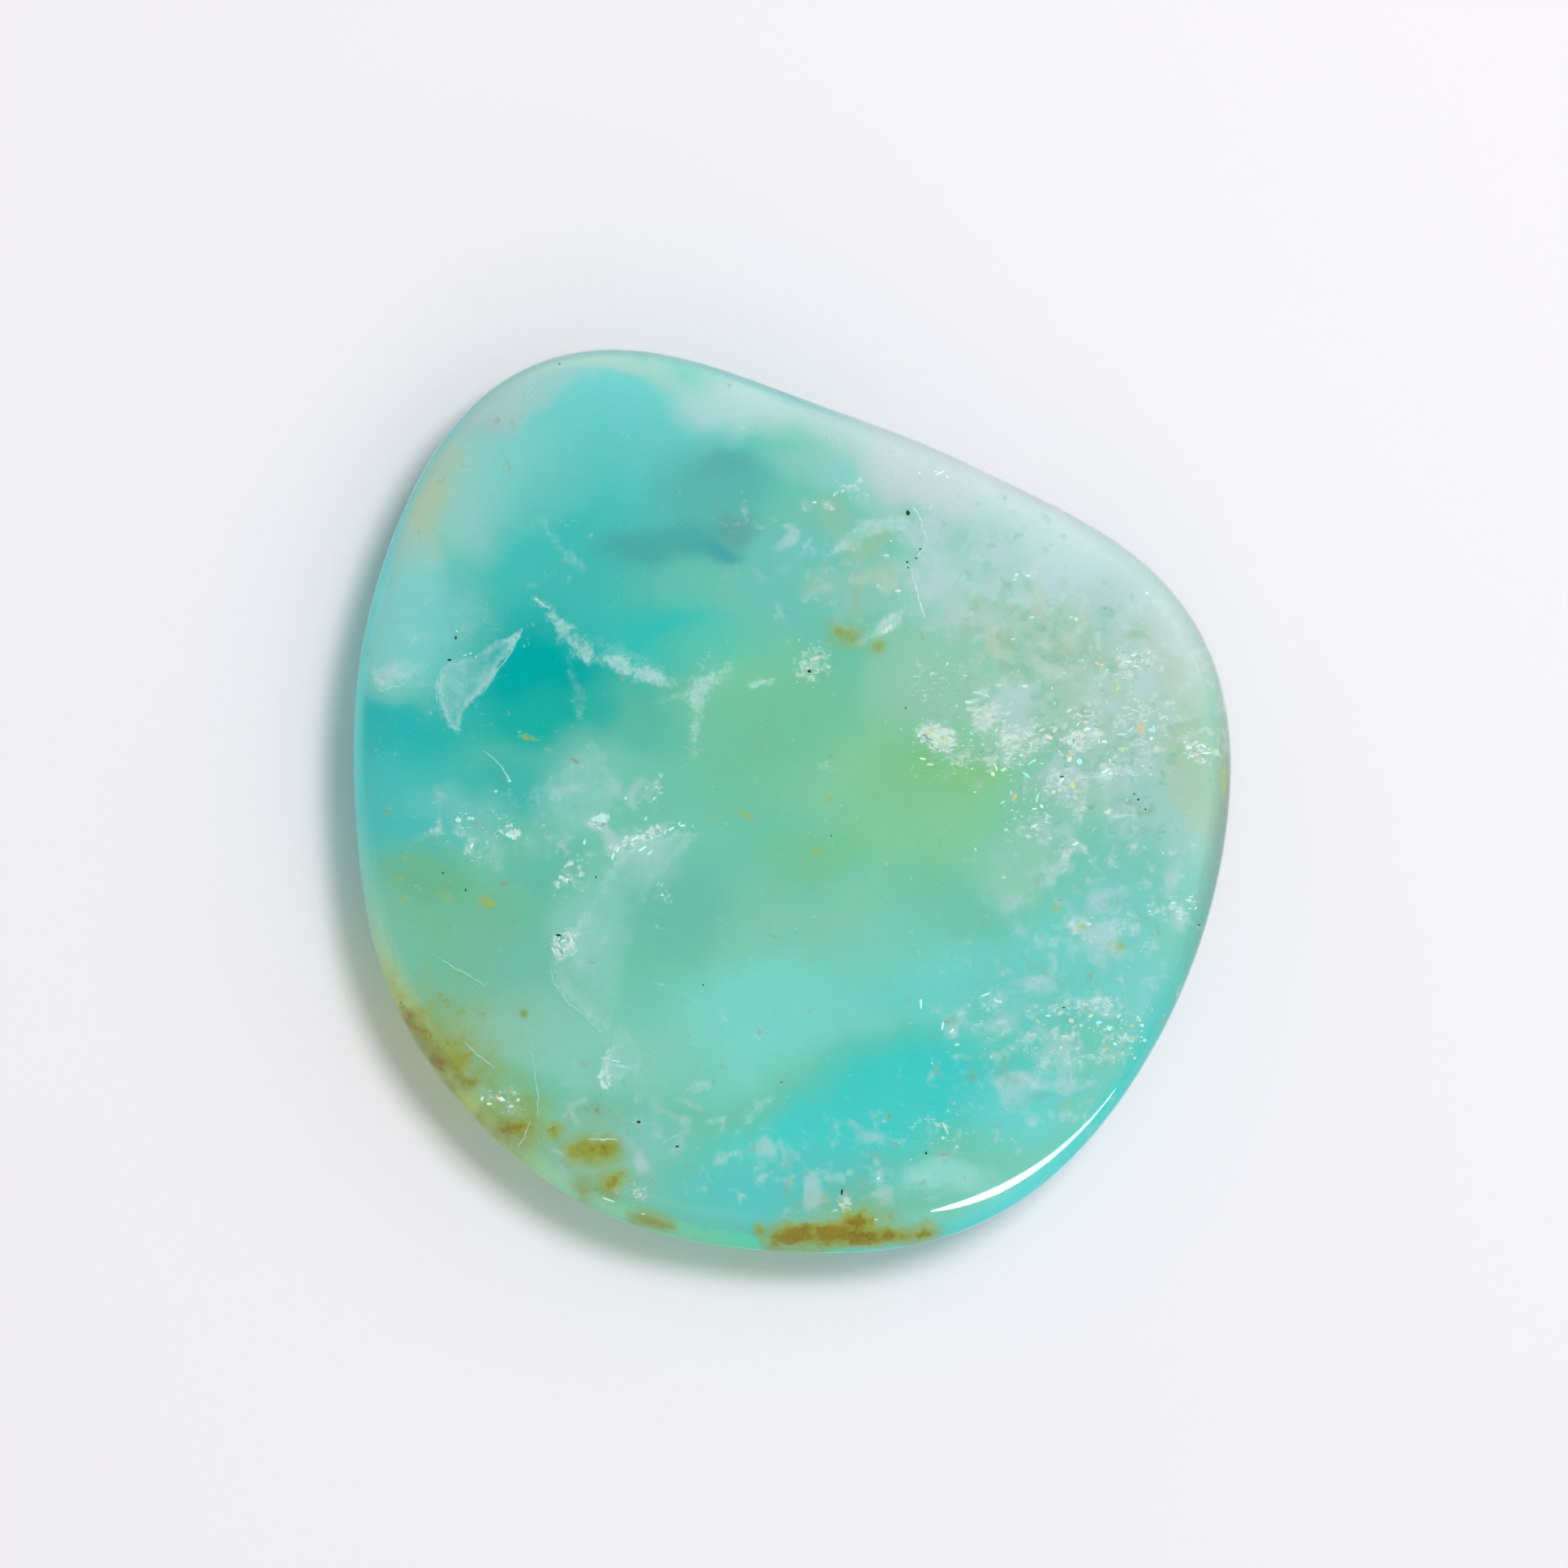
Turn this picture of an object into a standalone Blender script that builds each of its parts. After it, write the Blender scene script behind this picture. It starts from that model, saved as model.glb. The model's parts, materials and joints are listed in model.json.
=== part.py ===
"""A polished freeform opal cabochon that lies on its flat back.

The stone is one solid. From below upwards it has a flat back, a rounded lower
edge, a girdle where the outline is widest, a rolled shoulder and a low dome.
The shoulder is broad on the lower right and narrow on the upper left, the way
a hand-held stone comes off the wheel.

Sizes are in millimetres until the mesh is made, which is in metres. The stone
stands on Z = 0. Seen from above, +X is to the right and +Y to the far side.
"""

import math

import bmesh
import bpy

MM = 0.001

# Outline: distance from the middle to the girdle, from +X counter-clockwise at equal angles
OUTLINE_RADII = (
    17.28, 17.56, 16.36, 15.16, 15.40, 17.48,
    20.04, 19.40, 18.03, 17.23, 17.41, 17.59,
    17.78, 17.69, 17.95, 18.09, 17.41, 17.05,
)

# Heights above the flat back
GIRDLE_HEIGHT = 2.0
SHOULDER_RISE = 2.6
DOME_RISE = 0.8

# Width of the rounded lower edge, and of the rolled shoulder, seen from above
BACK_EDGE_WIDTH = 0.9
SHOULDER_WIDTH = 1.25
SHOULDER_WIDTH_SWING = 0.45
BROADEST_SHOULDER = math.radians(-55)

# How finely the surface is divided
SEGMENTS = 120
BACK_EDGE_STEPS = 5
SHOULDER_STEPS = 9
DOME_STEPS = 8

OPAL_HEX = "72CDB9"
OPAL_ROUGHNESS = 0.08


def linear(hex_colour):
    """Turn an sRGB hex colour into the linear RGBA values a shader takes."""
    channels = [int(hex_colour[i:i + 2], 16) / 255 for i in (0, 2, 4)]
    return [c / 12.92 if c <= 0.04045 else ((c + 0.055) / 1.055) ** 2.4 for c in channels] + [1.0]


def girdle_radius(angle):
    """The smooth closed curve through the outline's radii (trigonometric interpolation)."""
    count = len(OUTLINE_RADII)
    total = 0.0
    for index, radius in enumerate(OUTLINE_RADII):
        away = angle - index * math.tau / count
        away = math.remainder(away, math.tau)
        if abs(away) < 1e-9:
            return radius
        total += radius * math.sin(count * away / 2) / (count * math.tan(away / 2))
    return total


def shoulder_width(angle):
    """How far the rolled shoulder reaches in from the girdle."""
    return SHOULDER_WIDTH + SHOULDER_WIDTH_SWING * math.cos(angle - BROADEST_SHOULDER)


def crown_height(inset, angle):
    """Height of the top surface at a distance in from the girdle: a quarter round under a low dome."""
    along_shoulder = min(inset / shoulder_width(angle), 1.0)
    across_stone = min(inset / girdle_radius(angle), 1.0)
    shoulder = SHOULDER_RISE * math.sqrt(1 - (1 - along_shoulder) ** 2)
    dome = DOME_RISE * (1 - (1 - across_stone) ** 2)
    return GIRDLE_HEIGHT + shoulder + dome


def profile(angle):
    """Inset and height of each ring at one angle, from the flat back's rim up to the last ring of the dome."""
    rings = []
    for step in range(BACK_EDGE_STEPS + 1):
        turn = math.pi / 2 * step / BACK_EDGE_STEPS
        rings.append((BACK_EDGE_WIDTH * (1 - math.sin(turn)), GIRDLE_HEIGHT * (1 - math.cos(turn))))
    width = shoulder_width(angle)
    for step in range(1, SHOULDER_STEPS + 1):
        turn = math.pi / 2 * step / SHOULDER_STEPS
        inset = width * (1 - math.cos(turn))
        rings.append((inset, crown_height(inset, angle)))
    dome_span = girdle_radius(angle) - width
    for step in range(1, DOME_STEPS):
        inset = width + dome_span * step / DOME_STEPS
        rings.append((inset, crown_height(inset, angle)))
    return rings


def outline_centre(angles):
    """Middle of the outline's bounding box, which becomes X = Y = 0."""
    xs = [girdle_radius(angle) * math.cos(angle) for angle in angles]
    ys = [girdle_radius(angle) * math.sin(angle) for angle in angles]
    return (min(xs) + max(xs)) / 2, (min(ys) + max(ys)) / 2


def close_with_fan(bm, ring, middle, faces_up):
    """Close a ring of vertices with triangles that meet at one point."""
    for index, vert in enumerate(ring):
        following = ring[(index + 1) % len(ring)]
        corners = (vert, following, middle) if faces_up else (following, vert, middle)
        bm.faces.new(corners)


def build_stone():
    angles = [math.tau * index / SEGMENTS for index in range(SEGMENTS)]
    centre_x, centre_y = outline_centre(angles)
    bm = bmesh.new()
    columns = []
    for angle in angles:
        column = []
        for inset, height in profile(angle):
            radius = girdle_radius(angle) - inset
            x = radius * math.cos(angle) - centre_x
            y = radius * math.sin(angle) - centre_y
            column.append(bm.verts.new((x * MM, y * MM, height * MM)))
        columns.append(column)
    for index, column in enumerate(columns):
        following = columns[(index + 1) % SEGMENTS]
        for level in range(len(column) - 1):
            bm.faces.new((column[level], following[level], following[level + 1], column[level + 1]))
    apex_height = GIRDLE_HEIGHT + SHOULDER_RISE + DOME_RISE
    apex = bm.verts.new((-centre_x * MM, -centre_y * MM, apex_height * MM))
    close_with_fan(bm, [column[-1] for column in columns], apex, True)
    bm.faces.new([column[0] for column in reversed(columns)])

    mesh = bpy.data.meshes.new("opal_cabochon")
    bm.to_mesh(mesh)
    bm.free()
    mesh.shade_smooth()
    mesh.set_sharp_from_angle(angle=math.radians(40))
    stone = bpy.data.objects.new("opal_cabochon", mesh)
    bpy.context.scene.collection.objects.link(stone)
    return stone


def opal_material():
    material = bpy.data.materials.new("opal")
    material.use_nodes = True
    shader = material.node_tree.nodes["Principled BSDF"]
    shader.inputs["Base Color"].default_value = linear(OPAL_HEX)
    shader.inputs["Roughness"].default_value = OPAL_ROUGHNESS
    shader.inputs["Metallic"].default_value = 0.0
    return material


for old_object in list(bpy.data.objects):
    bpy.data.objects.remove(old_object)

cabochon = build_stone()
cabochon.data.materials.append(opal_material())
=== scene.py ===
# %% [markdown]
# # A polished freeform opal
#
# This lesson dresses one stone: a cushion-shaped cabochon of blue-green common opal, about
# 35 mm across. Real opal of this kind is part clear jelly and part milk. The polish shows a
# clean reflection on top, and a little way under it lie clouds, white films, tiny bright
# flakes and rust stains. So the stone is built in the same order as it is seen: a clear
# polished body, a milky mass under it, and flakes, healed cracks and dirt between the two.
#
# All sizes are in millimetres and turned to metres where a mesh is made.

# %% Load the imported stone
import json
import math
import random

import bmesh
import bpy
import numpy as np
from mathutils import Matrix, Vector, noise

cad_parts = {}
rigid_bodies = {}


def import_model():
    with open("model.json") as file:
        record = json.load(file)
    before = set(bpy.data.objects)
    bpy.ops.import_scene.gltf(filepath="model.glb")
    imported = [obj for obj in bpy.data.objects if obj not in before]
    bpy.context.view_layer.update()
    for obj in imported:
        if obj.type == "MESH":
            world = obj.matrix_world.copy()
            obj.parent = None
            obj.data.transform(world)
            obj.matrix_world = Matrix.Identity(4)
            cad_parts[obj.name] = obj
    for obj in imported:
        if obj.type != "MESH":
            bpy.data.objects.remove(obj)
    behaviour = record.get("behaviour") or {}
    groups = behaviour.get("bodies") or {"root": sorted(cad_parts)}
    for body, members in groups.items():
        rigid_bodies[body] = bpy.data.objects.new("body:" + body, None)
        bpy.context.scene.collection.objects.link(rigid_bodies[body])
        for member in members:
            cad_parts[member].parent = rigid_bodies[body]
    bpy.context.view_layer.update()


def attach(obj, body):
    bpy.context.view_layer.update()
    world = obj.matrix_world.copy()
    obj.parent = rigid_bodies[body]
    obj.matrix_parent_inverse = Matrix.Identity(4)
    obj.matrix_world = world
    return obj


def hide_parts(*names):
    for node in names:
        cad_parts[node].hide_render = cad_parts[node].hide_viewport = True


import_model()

MM = 0.001


def add_object(name, data):
    """Put a mesh, a lamp or a camera into the scene."""
    thing = bpy.data.objects.new(name, data)
    bpy.context.scene.collection.objects.link(thing)
    return thing


def mesh_of(bm, name):
    """Turn a finished bmesh into a named mesh."""
    mesh = bpy.data.meshes.new(name)
    bm.to_mesh(mesh)
    bm.free()
    return mesh


# %% [markdown]
# ## The outline and the profile
#
# A cabochon is ground from a slab: first the outline, then the shoulder, then the dome. The
# mesh follows the same order. The outline is a smooth closed curve through a few radii. The
# height depends only on how far in from the outline a point lies: a steep side with a tight
# edge, a rolled shoulder, and a very low dome over all of it. A formula is used here, and not
# a sculpted mesh, so that every layer inside the stone can ask how high the polish is.

# %% Outline and profile of the cut stone
# Distance from the middle to the girdle, from +X counter-clockwise at equal angles
OUTLINE_RADII = (
    17.28, 17.56, 16.36, 15.16, 15.40, 17.48,
    20.04, 19.40, 18.03, 17.23, 17.41, 17.59,
    17.78, 17.69, 17.95, 18.09, 17.41, 17.05,
)
GIRDLE_HEIGHT = 2.0
SIDE_RISE = 1.4
SIDE_EDGE_WIDTH = 0.12
SHOULDER_RISE = 1.2
DOME_RISE = 0.8
BACK_EDGE_WIDTH = 0.9
SHOULDER_WIDTH = 1.25
SHOULDER_WIDTH_SWING = 0.45
BROADEST_SHOULDER = math.radians(-55)
SHOULDER_CHANGES = (
    # bearing, spread, change of width: where the shoulder was ground broader or tighter
    (-40, 27, -0.66),
    (22, 38, -0.40),
    (98, 38, -0.35),
    (178, 40, -0.30),
)
# Bearing and spread of the stretch whose side was left higher, and by how much
HIGHER_SIDE = (-50, 30, 0.65)


def near_bearing(angle, bearing, spread):
    """1 at a bearing in degrees, falling off to both sides of it."""
    away = (np.degrees(angle) - bearing + 180) % 360 - 180
    return np.exp(-(away / spread) ** 2)


def girdle_radius(angle):
    """Distance from the middle of the stone to its outline, for an array of angles."""
    count = len(OUTLINE_RADII)
    away = np.asarray(angle)[..., None] - np.arange(count) * math.tau / count
    away = np.arctan2(np.sin(away), np.cos(away))
    at_radius = np.abs(away) < 1e-9
    away = np.where(at_radius, 1.0, away)
    share = np.sin(count * away / 2) / (count * np.tan(away / 2))
    return np.where(at_radius, 1.0, share) @ np.array(OUTLINE_RADII)


def shoulder_width(angle):
    """How far in from the outline the rolled shoulder reaches."""
    width = SHOULDER_WIDTH + SHOULDER_WIDTH_SWING * np.cos(angle - BROADEST_SHOULDER)
    factor = 1.0
    for bearing, spread, change in SHOULDER_CHANGES:
        factor = factor + change * near_bearing(angle, bearing, spread)
    return width * factor


def crown_height(inset, angle, shoulder_rise=SHOULDER_RISE):
    """Height of the polish at a distance in from the outline.

    Around one bearing the side was left higher, and the shoulder there is flatter.
    """
    bearing, spread, most = HIGHER_SIDE
    higher = most * near_bearing(angle, bearing, spread)
    along_edge = np.clip(inset / SIDE_EDGE_WIDTH, 0, 1)
    along_shoulder = np.clip(inset / shoulder_width(angle), 0, 1)
    across_stone = np.clip(inset / girdle_radius(angle), 0, 1)
    side = (SIDE_RISE + higher) * np.sqrt(1 - (1 - along_edge) ** 2)
    shoulder = (shoulder_rise - higher) * np.sin(math.pi / 2 * along_shoulder)
    return GIRDLE_HEIGHT + side + shoulder + DOME_RISE * (1 - (1 - across_stone) ** 2)


# The CAD's box is that of a polygon with this many sides.
CAD_SEGMENTS = 120
cad_angles = np.arange(CAD_SEGMENTS) * math.tau / CAD_SEGMENTS
cad_x = girdle_radius(cad_angles) * np.cos(cad_angles)
cad_y = girdle_radius(cad_angles) * np.sin(cad_angles)
MIDDLE = np.array([(cad_x.min() + cad_x.max()) / 2, (cad_y.min() + cad_y.max()) / 2])


def under_polish(x, y):
    """Bearing, inset from the outline and height of the polish over a point of the plan."""
    x = np.asarray(x) + MIDDLE[0]
    y = np.asarray(y) + MIDDLE[1]
    angle = np.arctan2(y, x)
    inset = girdle_radius(angle) - np.hypot(x, y)
    return angle, inset, crown_height(inset, angle)


print("height over the middle:", round(float(under_polish(0, 0)[2]), 2), "mm")

# %% [markdown]
# ## One even mesh for both layers
#
# The top has to carry fine markings, so its squares should be equally small everywhere. A
# fan from the middle would crowd at the centre. Instead a square grid is bent to a disc, the
# way a napkin can be drawn out to a round plate, and the shoulder and the back edge continue
# from its rim in rings.

# %% Mesh of a stone layer
SHOULDER_STEPS = 20
BACK_STEPS = 6


def smooth(value, low, high):
    share = np.clip((value - low) / (high - low), 0, 1)
    return share * share * (3 - 2 * share)


def disc_grid(cells):
    """Angle and share of the radius for the points of a square grid bent to a disc."""
    steps = np.linspace(-1, 1, cells + 1)
    across, along = np.meshgrid(steps, steps)
    wide = np.abs(across) > np.abs(along)
    safe_across = np.where(across == 0, 1, across)
    safe_along = np.where(along == 0, 1, along)
    share = np.where(wide, across, along)
    angle = np.where(
        wide,
        math.pi / 4 * along / safe_across,
        math.pi / 2 - math.pi / 4 * across / safe_along,
    )
    angle = np.where(share < 0, angle + math.pi, angle)
    return angle.ravel(), np.abs(share).ravel()


def rim_of_grid(cells):
    """Indices of the grid's outer points, counter-clockwise."""
    side = cells + 1
    near = list(range(cells))
    right = [row * side + cells for row in range(cells)]
    far = [cells * side + column for column in range(cells, 0, -1)]
    left = [row * side for row in range(cells, 0, -1)]
    return np.array(near + right + far + left)


def stone_layer(name, cells, side_skin, top_skin, back_skin, sink=None):
    """A closed mesh of the stone, inset by a skin at its sides, under its polish and at its back.

    sink(x, y) says how much deeper the top lies, away from the shoulder.
    """
    grid_angle, share = disc_grid(cells)
    rim = rim_of_grid(cells)
    rim_angle = grid_angle[rim]
    width = shoulder_width(grid_angle)
    angles = [grid_angle]
    insets = [girdle_radius(grid_angle) - share * (girdle_radius(grid_angle) - width)]
    for step in range(1, SHOULDER_STEPS + 1):
        turn = math.pi / 2 * (1 - step / SHOULDER_STEPS)
        angles.append(rim_angle)
        insets.append(shoulder_width(rim_angle) * (1 - math.cos(turn)))
    height = crown_height(np.concatenate(insets), np.concatenate(angles), SHOULDER_RISE - top_skin)
    heights = [height]
    for step in range(1, BACK_STEPS + 1):
        turn = math.pi / 2 * step / BACK_STEPS
        angles.append(rim_angle)
        insets.append(np.full(len(rim), BACK_EDGE_WIDTH * (1 - math.cos(turn))))
        level = back_skin + (GIRDLE_HEIGHT - back_skin) * (1 - math.sin(turn))
        heights.append(np.full(len(rim), level))
    angle, inset, height = (np.concatenate(rows) for rows in (angles, insets, heights))
    girdle = girdle_radius(angle)
    radius = (girdle - inset) * (1 - side_skin / girdle)
    x = radius * np.cos(angle) - MIDDLE[0]
    y = radius * np.sin(angle) - MIDDLE[1]
    if sink is not None:
        top = slice(0, len(grid_angle))
        height[top] -= sink(x[top], y[top])

    side = cells + 1
    corner = (np.arange(cells)[:, None] * side + np.arange(cells)).ravel()
    faces = np.stack([corner, corner + 1, corner + side + 1, corner + side], axis=1).tolist()
    rings = [rim] + [
        side * side + len(rim) * ring + np.arange(len(rim))
        for ring in range(SHOULDER_STEPS + BACK_STEPS)
    ]
    for upper, lower in zip(rings, rings[1:]):
        quads = [upper, lower, np.roll(lower, -1), np.roll(upper, -1)]
        faces += np.stack(quads, axis=1).tolist()
    faces.append(rings[-1][::-1].tolist())
    mesh = bpy.data.meshes.new(name)
    mesh.from_pydata((np.stack([x, y, height], axis=1) * MM).tolist(), [], faces)
    mesh.shade_smooth()
    return add_object(name, mesh)


# %% [markdown]
# ## Colours and shader nodes
#
# Colours are picked the way a painter names them, as sRGB hex values, and one function turns
# them to the linear light that shaders work in. A wet stone looks deeper in colour than a dry
# one, because light that has entered it is thrown back by the inside of its skin and takes up
# colour again. The milk lies under such a skin, so a second function works out how pale it
# has to be to show the colour wanted.

# %% Helpers for colour and nodes
def linear(hex_colour):
    """sRGB hex to linear RGBA."""
    channels = [int(hex_colour[i:i + 2], 16) / 255 for i in (0, 2, 4)]
    return [c / 12.92 if c <= 0.04045 else ((c + 0.055) / 1.055) ** 2.4 for c in channels] + [1.0]


# Share of the light that gets into the jelly, and share that its skin throws back inside
ENTERS = 0.76
RETURNS = 0.50


def under_skin(hex_colour):
    """The linear colour that shows as hex_colour once it lies under polished jelly."""
    return [c / (ENTERS + RETURNS * c) for c in linear(hex_colour)[:3]] + [1.0]


def add_node(tree, kind, settings=None, values=None, links=None):
    """Add a shader node. settings are its properties, values its sockets, links what feeds them."""
    node = tree.nodes.new(kind)
    for name, value in (settings or {}).items():
        setattr(node, name, value)
    for socket, value in (values or {}).items():
        node.inputs[socket].default_value = value
    for socket, source in (links or {}).items():
        tree.links.new(source, node.inputs[socket])
    return node


def new_material(name):
    """A material, its node tree and its Principled shader."""
    material = bpy.data.materials.new(name)
    material.use_nodes = True
    return material, material.node_tree, material.node_tree.nodes["Principled BSDF"]


def let_lamps_in(tree, shader, tint=None):
    """For lamp rays alone, put a clear surface with a tint in the shader's place."""
    lamp_ray = add_node(tree, "ShaderNodeLightPath")
    through = add_node(tree, "ShaderNodeBsdfTransparent", {}, {}, {"Color": tint} if tint else {})
    surface = add_node(tree, "ShaderNodeMixShader", {}, {}, {
        0: lamp_ray.outputs["Is Shadow Ray"], 1: shader.outputs[0], 2: through.outputs[0]})
    tree.links.new(surface.outputs[0], tree.nodes["Material Output"].inputs["Surface"])


# %% [markdown]
# ## Colour clouds
#
# Copper tints opal blue, and iron and nickel tint it green to yellow. The tints lie in soft clouds. Each
# cloud here is a soft oval with a place, a size and a colour, laid over the ones before it. Noise first
# bends the plan, always in the same way, so that no oval keeps its clean shape. The pale grey clouds at
# the upper right are partly the milk's own colour and partly a painted reflection of the broad softbox.

# %% The clouds, from the ground colour up
GROUND = "76C8AC"
CLOUDS = (
    # colour, x, y, half length, half width, tilt in degrees, strength
    ("5FCBC6", -7.5, 13.5, 9.0, 5.5, 10, 1.0),
    ("4AC2BC", -9.0, 8.8, 7.5, 6.0, -25, 1.0),
    ("00AFAC", -10.2, 4.6, 6.5, 4.4, -10, 1.0),
    ("2DB4B0", -15.5, 2.4, 4.5, 4.0, 0, 1.0),
    ("4CC2BD", -15.8, -0.8, 3.5, 4.0, 0, 0.9),
    ("6CC6C0", -14.8, 7.2, 4.2, 3.2, 0, 0.9),
    ("72CFCC", -6.5, 15.2, 6.5, 2.8, -8, 0.9),
    ("9AD2C8", -12.2, 12.6, 2.8, 4.6, -25, 0.9),
    ("7CD2CA", -10.0, 13.4, 2.6, 2.6, 0, 0.6),
    ("B0CDA6", -13.9, 12.1, 1.5, 4.2, -25, 1.0),
    ("ABCDBE", -14.9, 9.8, 1.3, 2.2, -15, 0.8),
    ("A3C3C2", -11.1, 15.9, 2.2, 1.6, 30, 0.9),
    ("A4CDC8", -9.4, 16.2, 2.6, 1.4, 20, 0.7),
    ("A2D0BC", -7.9, 17.2, 4.0, 0.9, 0, 0.9),
    ("70C4B6", 0.0, 9.0, 5.8, 5.0, 0, 0.9),
    ("3CC6BE", -4.6, 6.0, 4.0, 2.6, -10, 1.0),
    ("1EB4A8", -9.4, 2.6, 4.6, 2.0, -10, 1.0),
    ("42B8B0", -11.6, 0.2, 3.8, 2.2, 0, 0.9),
    ("60B6AE", -3.2, 12.6, 3.4, 3.0, 20, 0.9),
    ("50A9A6", -5.0, 10.2, 3.2, 1.4, 0, 0.9),
    ("5FA8A4", -2.6, 13.6, 1.6, 0.9, 0, 0.7),
    ("5FA29C", -2.7, 10.9, 1.6, 0.9, 0, 0.9),
    ("469FA4", -3.2, 9.9, 1.2, 0.5, 0, 0.8),
    ("B3D8D6", -1.8, 16.0, 5.5, 1.8, -16, 0.9),
    # Pale grey clouds at the upper right: partly the milk's colour, partly a painted reflection of the
    # broad softbox.
    ("C2D2D4", 5.6, 13.2, 7.5, 3.4, -26, 1.0),
    ("BBD8D6", 10.6, 9.6, 6.5, 3.8, -30, 1.0),
    ("B2CCC9", 13.6, 7.8, 3.8, 3.8, -40, 0.9),
    ("B3D6CF", 6.6, 8.4, 4.0, 3.4, 0, 0.9),
    ("92C9B8", 2.8, 8.3, 2.6, 2.2, 0, 0.8),
    ("90BFA4", 1.2, 11.4, 1.9, 1.0, -20, 0.7),
    ("9CC3A0", 2.9, 10.2, 1.5, 0.8, 30, 0.7),
    ("7CCFCB", 1.6, 12.6, 2.0, 0.8, -20, 0.6),
    ("76C8C4", 0.2, 10.0, 1.8, 0.9, 30, 0.6),
    ("B2CDB4", 3.4, 8.9, 1.4, 0.8, 10, 0.6),
    ("A5C8A8", 1.0, 8.8, 1.2, 0.7, 0, 0.5),
    ("8DC8BA", 3.9, 11.8, 1.3, 0.7, 0, 0.6),
    ("96CCC6", 0.4, 13.0, 2.6, 1.0, -15, 0.6),
    ("A9CCB6", 10.6, 4.5, 5.4, 4.4, 0, 0.95),
    ("B6D0C8", 14.8, 5.4, 2.8, 3.8, 15, 0.9),
    ("B5D0C4", 13.6, 2.0, 4.2, 3.8, 0, 0.9),
    ("A0CDC4", 14.4, -1.0, 3.2, 3.0, 0, 0.9),
    ("B2C2A2", 16.4, 1.0, 1.7, 4.6, 3, 0.6),
    ("B6C4B8", 15.2, 5.4, 2.0, 3.4, 15, 0.5),
    ("96C3A0", 8.0, 6.4, 1.8, 1.2, 0, 0.6),
    ("A7C292", 7.9, 6.5, 0.8, 0.6, 0, 0.5),
    ("7CC8A0", -0.5, 3.0, 6.5, 4.5, 0, 1.0),
    ("8CCEA6", 3.6, 1.0, 6.0, 4.5, 0, 1.0),
    ("86CC9C", 4.6, -1.2, 4.4, 3.0, 20, 0.8),
    ("8ACB98", 5.4, 1.2, 4.2, 2.8, -15, 0.9),
    ("88C67C", 6.6, 1.0, 2.4, 1.1, -10, 0.5),
    ("9ACCB0", 5.0, 4.8, 3.4, 2.4, 0, 0.9),
    ("A4CDB4", 8.4, 3.6, 3.6, 2.8, -10, 0.8),
    ("A6CFBE", 11.0, 0.0, 4.0, 2.2, 0, 0.9),
    ("98CFB8", 8.8, -2.4, 3.4, 2.0, 0, 0.8),
    ("87CCB1", 0.8, -5.2, 7.5, 3.6, 0, 1.0),
    ("86DED0", -1.0, -8.6, 7.0, 3.6, 0, 1.0),
    ("76DAD0", 5.4, -7.2, 5.0, 3.2, 0, 0.9),
    ("46D2CE", 5.4, -11.2, 6.8, 3.2, 25, 1.0),
    ("50D4D0", 1.5, -13.4, 6.4, 2.4, 5, 1.0),
    ("5CC8C4", 0.2, -15.4, 6.8, 1.9, 0, 1.0),
    ("74D2CA", 10.6, -6.5, 4.8, 3.8, 0, 0.9),
    ("6CD6D4", 9.4, -11.4, 4.0, 3.0, 30, 0.9),
    ("7CC8BA", 13.4, -4.0, 3.0, 3.4, 0, 0.9),
    ("7CD0C8", 13.6, -6.4, 2.6, 3.4, 0, 0.9),
    ("78BE99", -13.0, -5.0, 5.0, 2.8, 0, 0.9),
    ("70BA90", -14.6, -3.4, 2.6, 1.6, 0, 0.9),
    ("7FC6AE", -10.4, -7.2, 4.0, 3.0, 0, 0.9),
    ("92CEB8", -11.6, -9.2, 4.4, 2.6, 0, 0.9),
    ("90D4C0", -7.6, -10.2, 5.0, 2.6, 0, 0.8),
    ("6FC0AC", -5.2, -3.8, 3.2, 3.0, 0, 0.8),
    ("8AC1A0", -8.0, -14.0, 4.6, 2.4, -20, 0.9),
    ("84BE86", -11.8, -11.8, 2.4, 1.4, -50, 0.7),
    ("84CCC8", -5.6, -13.6, 2.6, 1.8, 0, 0.6),
    ("8ED0C6", -8.4, -0.2, 3.6, 1.9, 38, 0.6),
    ("9AD6CA", -7.6, -5.4, 1.7, 3.6, 12, 0.65),
    ("A4D4C8", -5.9, -2.2, 2.0, 1.1, 38, 0.7),
    ("8CDCD2", -15.6, 7.0, 1.5, 4.6, -15, 0.7),
    ("7CD2CC", -14.9, 6.4, 2.6, 1.6, 0, 0.6),
    ("8ACFC8", -13.4, -0.9, 2.6, 1.3, -5, 0.5),
    ("76C8C2", -3.0, 14.8, 1.8, 0.9, 0, 0.6),
    ("5CCAB8", -3.0, 5.2, 2.6, 1.6, 0, 0.6),
    ("80C692", 1.5, -2.4, 3.0, 1.2, 0, 0.6),
    ("60BCA8", -10.2, -2.6, 1.8, 1.2, 0, 0.5),
    ("9EE4DC", 5.8, -15.2, 2.6, 1.1, 10, 0.7),
    ("74C4A8", 7.6, -4.8, 2.2, 1.2, 0, 0.5),
)


# Each way of bending the plan: how far, and the size of its waves
SWAY = (1.5, 4.0)
FRAY = (0.4, 1.0)
CLOUD_SOFTNESS = 0.75


def roll(x, y, size, seed):
    """Smooth noise between -1 and 1, with hills about size millimetres apart."""
    return np.array([noise.noise(Vector((a / size, b / size, seed))) for a, b in zip(x, y)])


def oval_distance(x, y, oval_x, oval_y, length, width, tilt):
    """0 in the middle of an oval and 1 on its edge."""
    turn = math.radians(tilt)
    along = ((x - oval_x) * math.cos(turn) + (y - oval_y) * math.sin(turn)) / length
    across = ((y - oval_y) * math.cos(turn) - (x - oval_x) * math.sin(turn)) / width
    return np.hypot(along, across)


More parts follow.
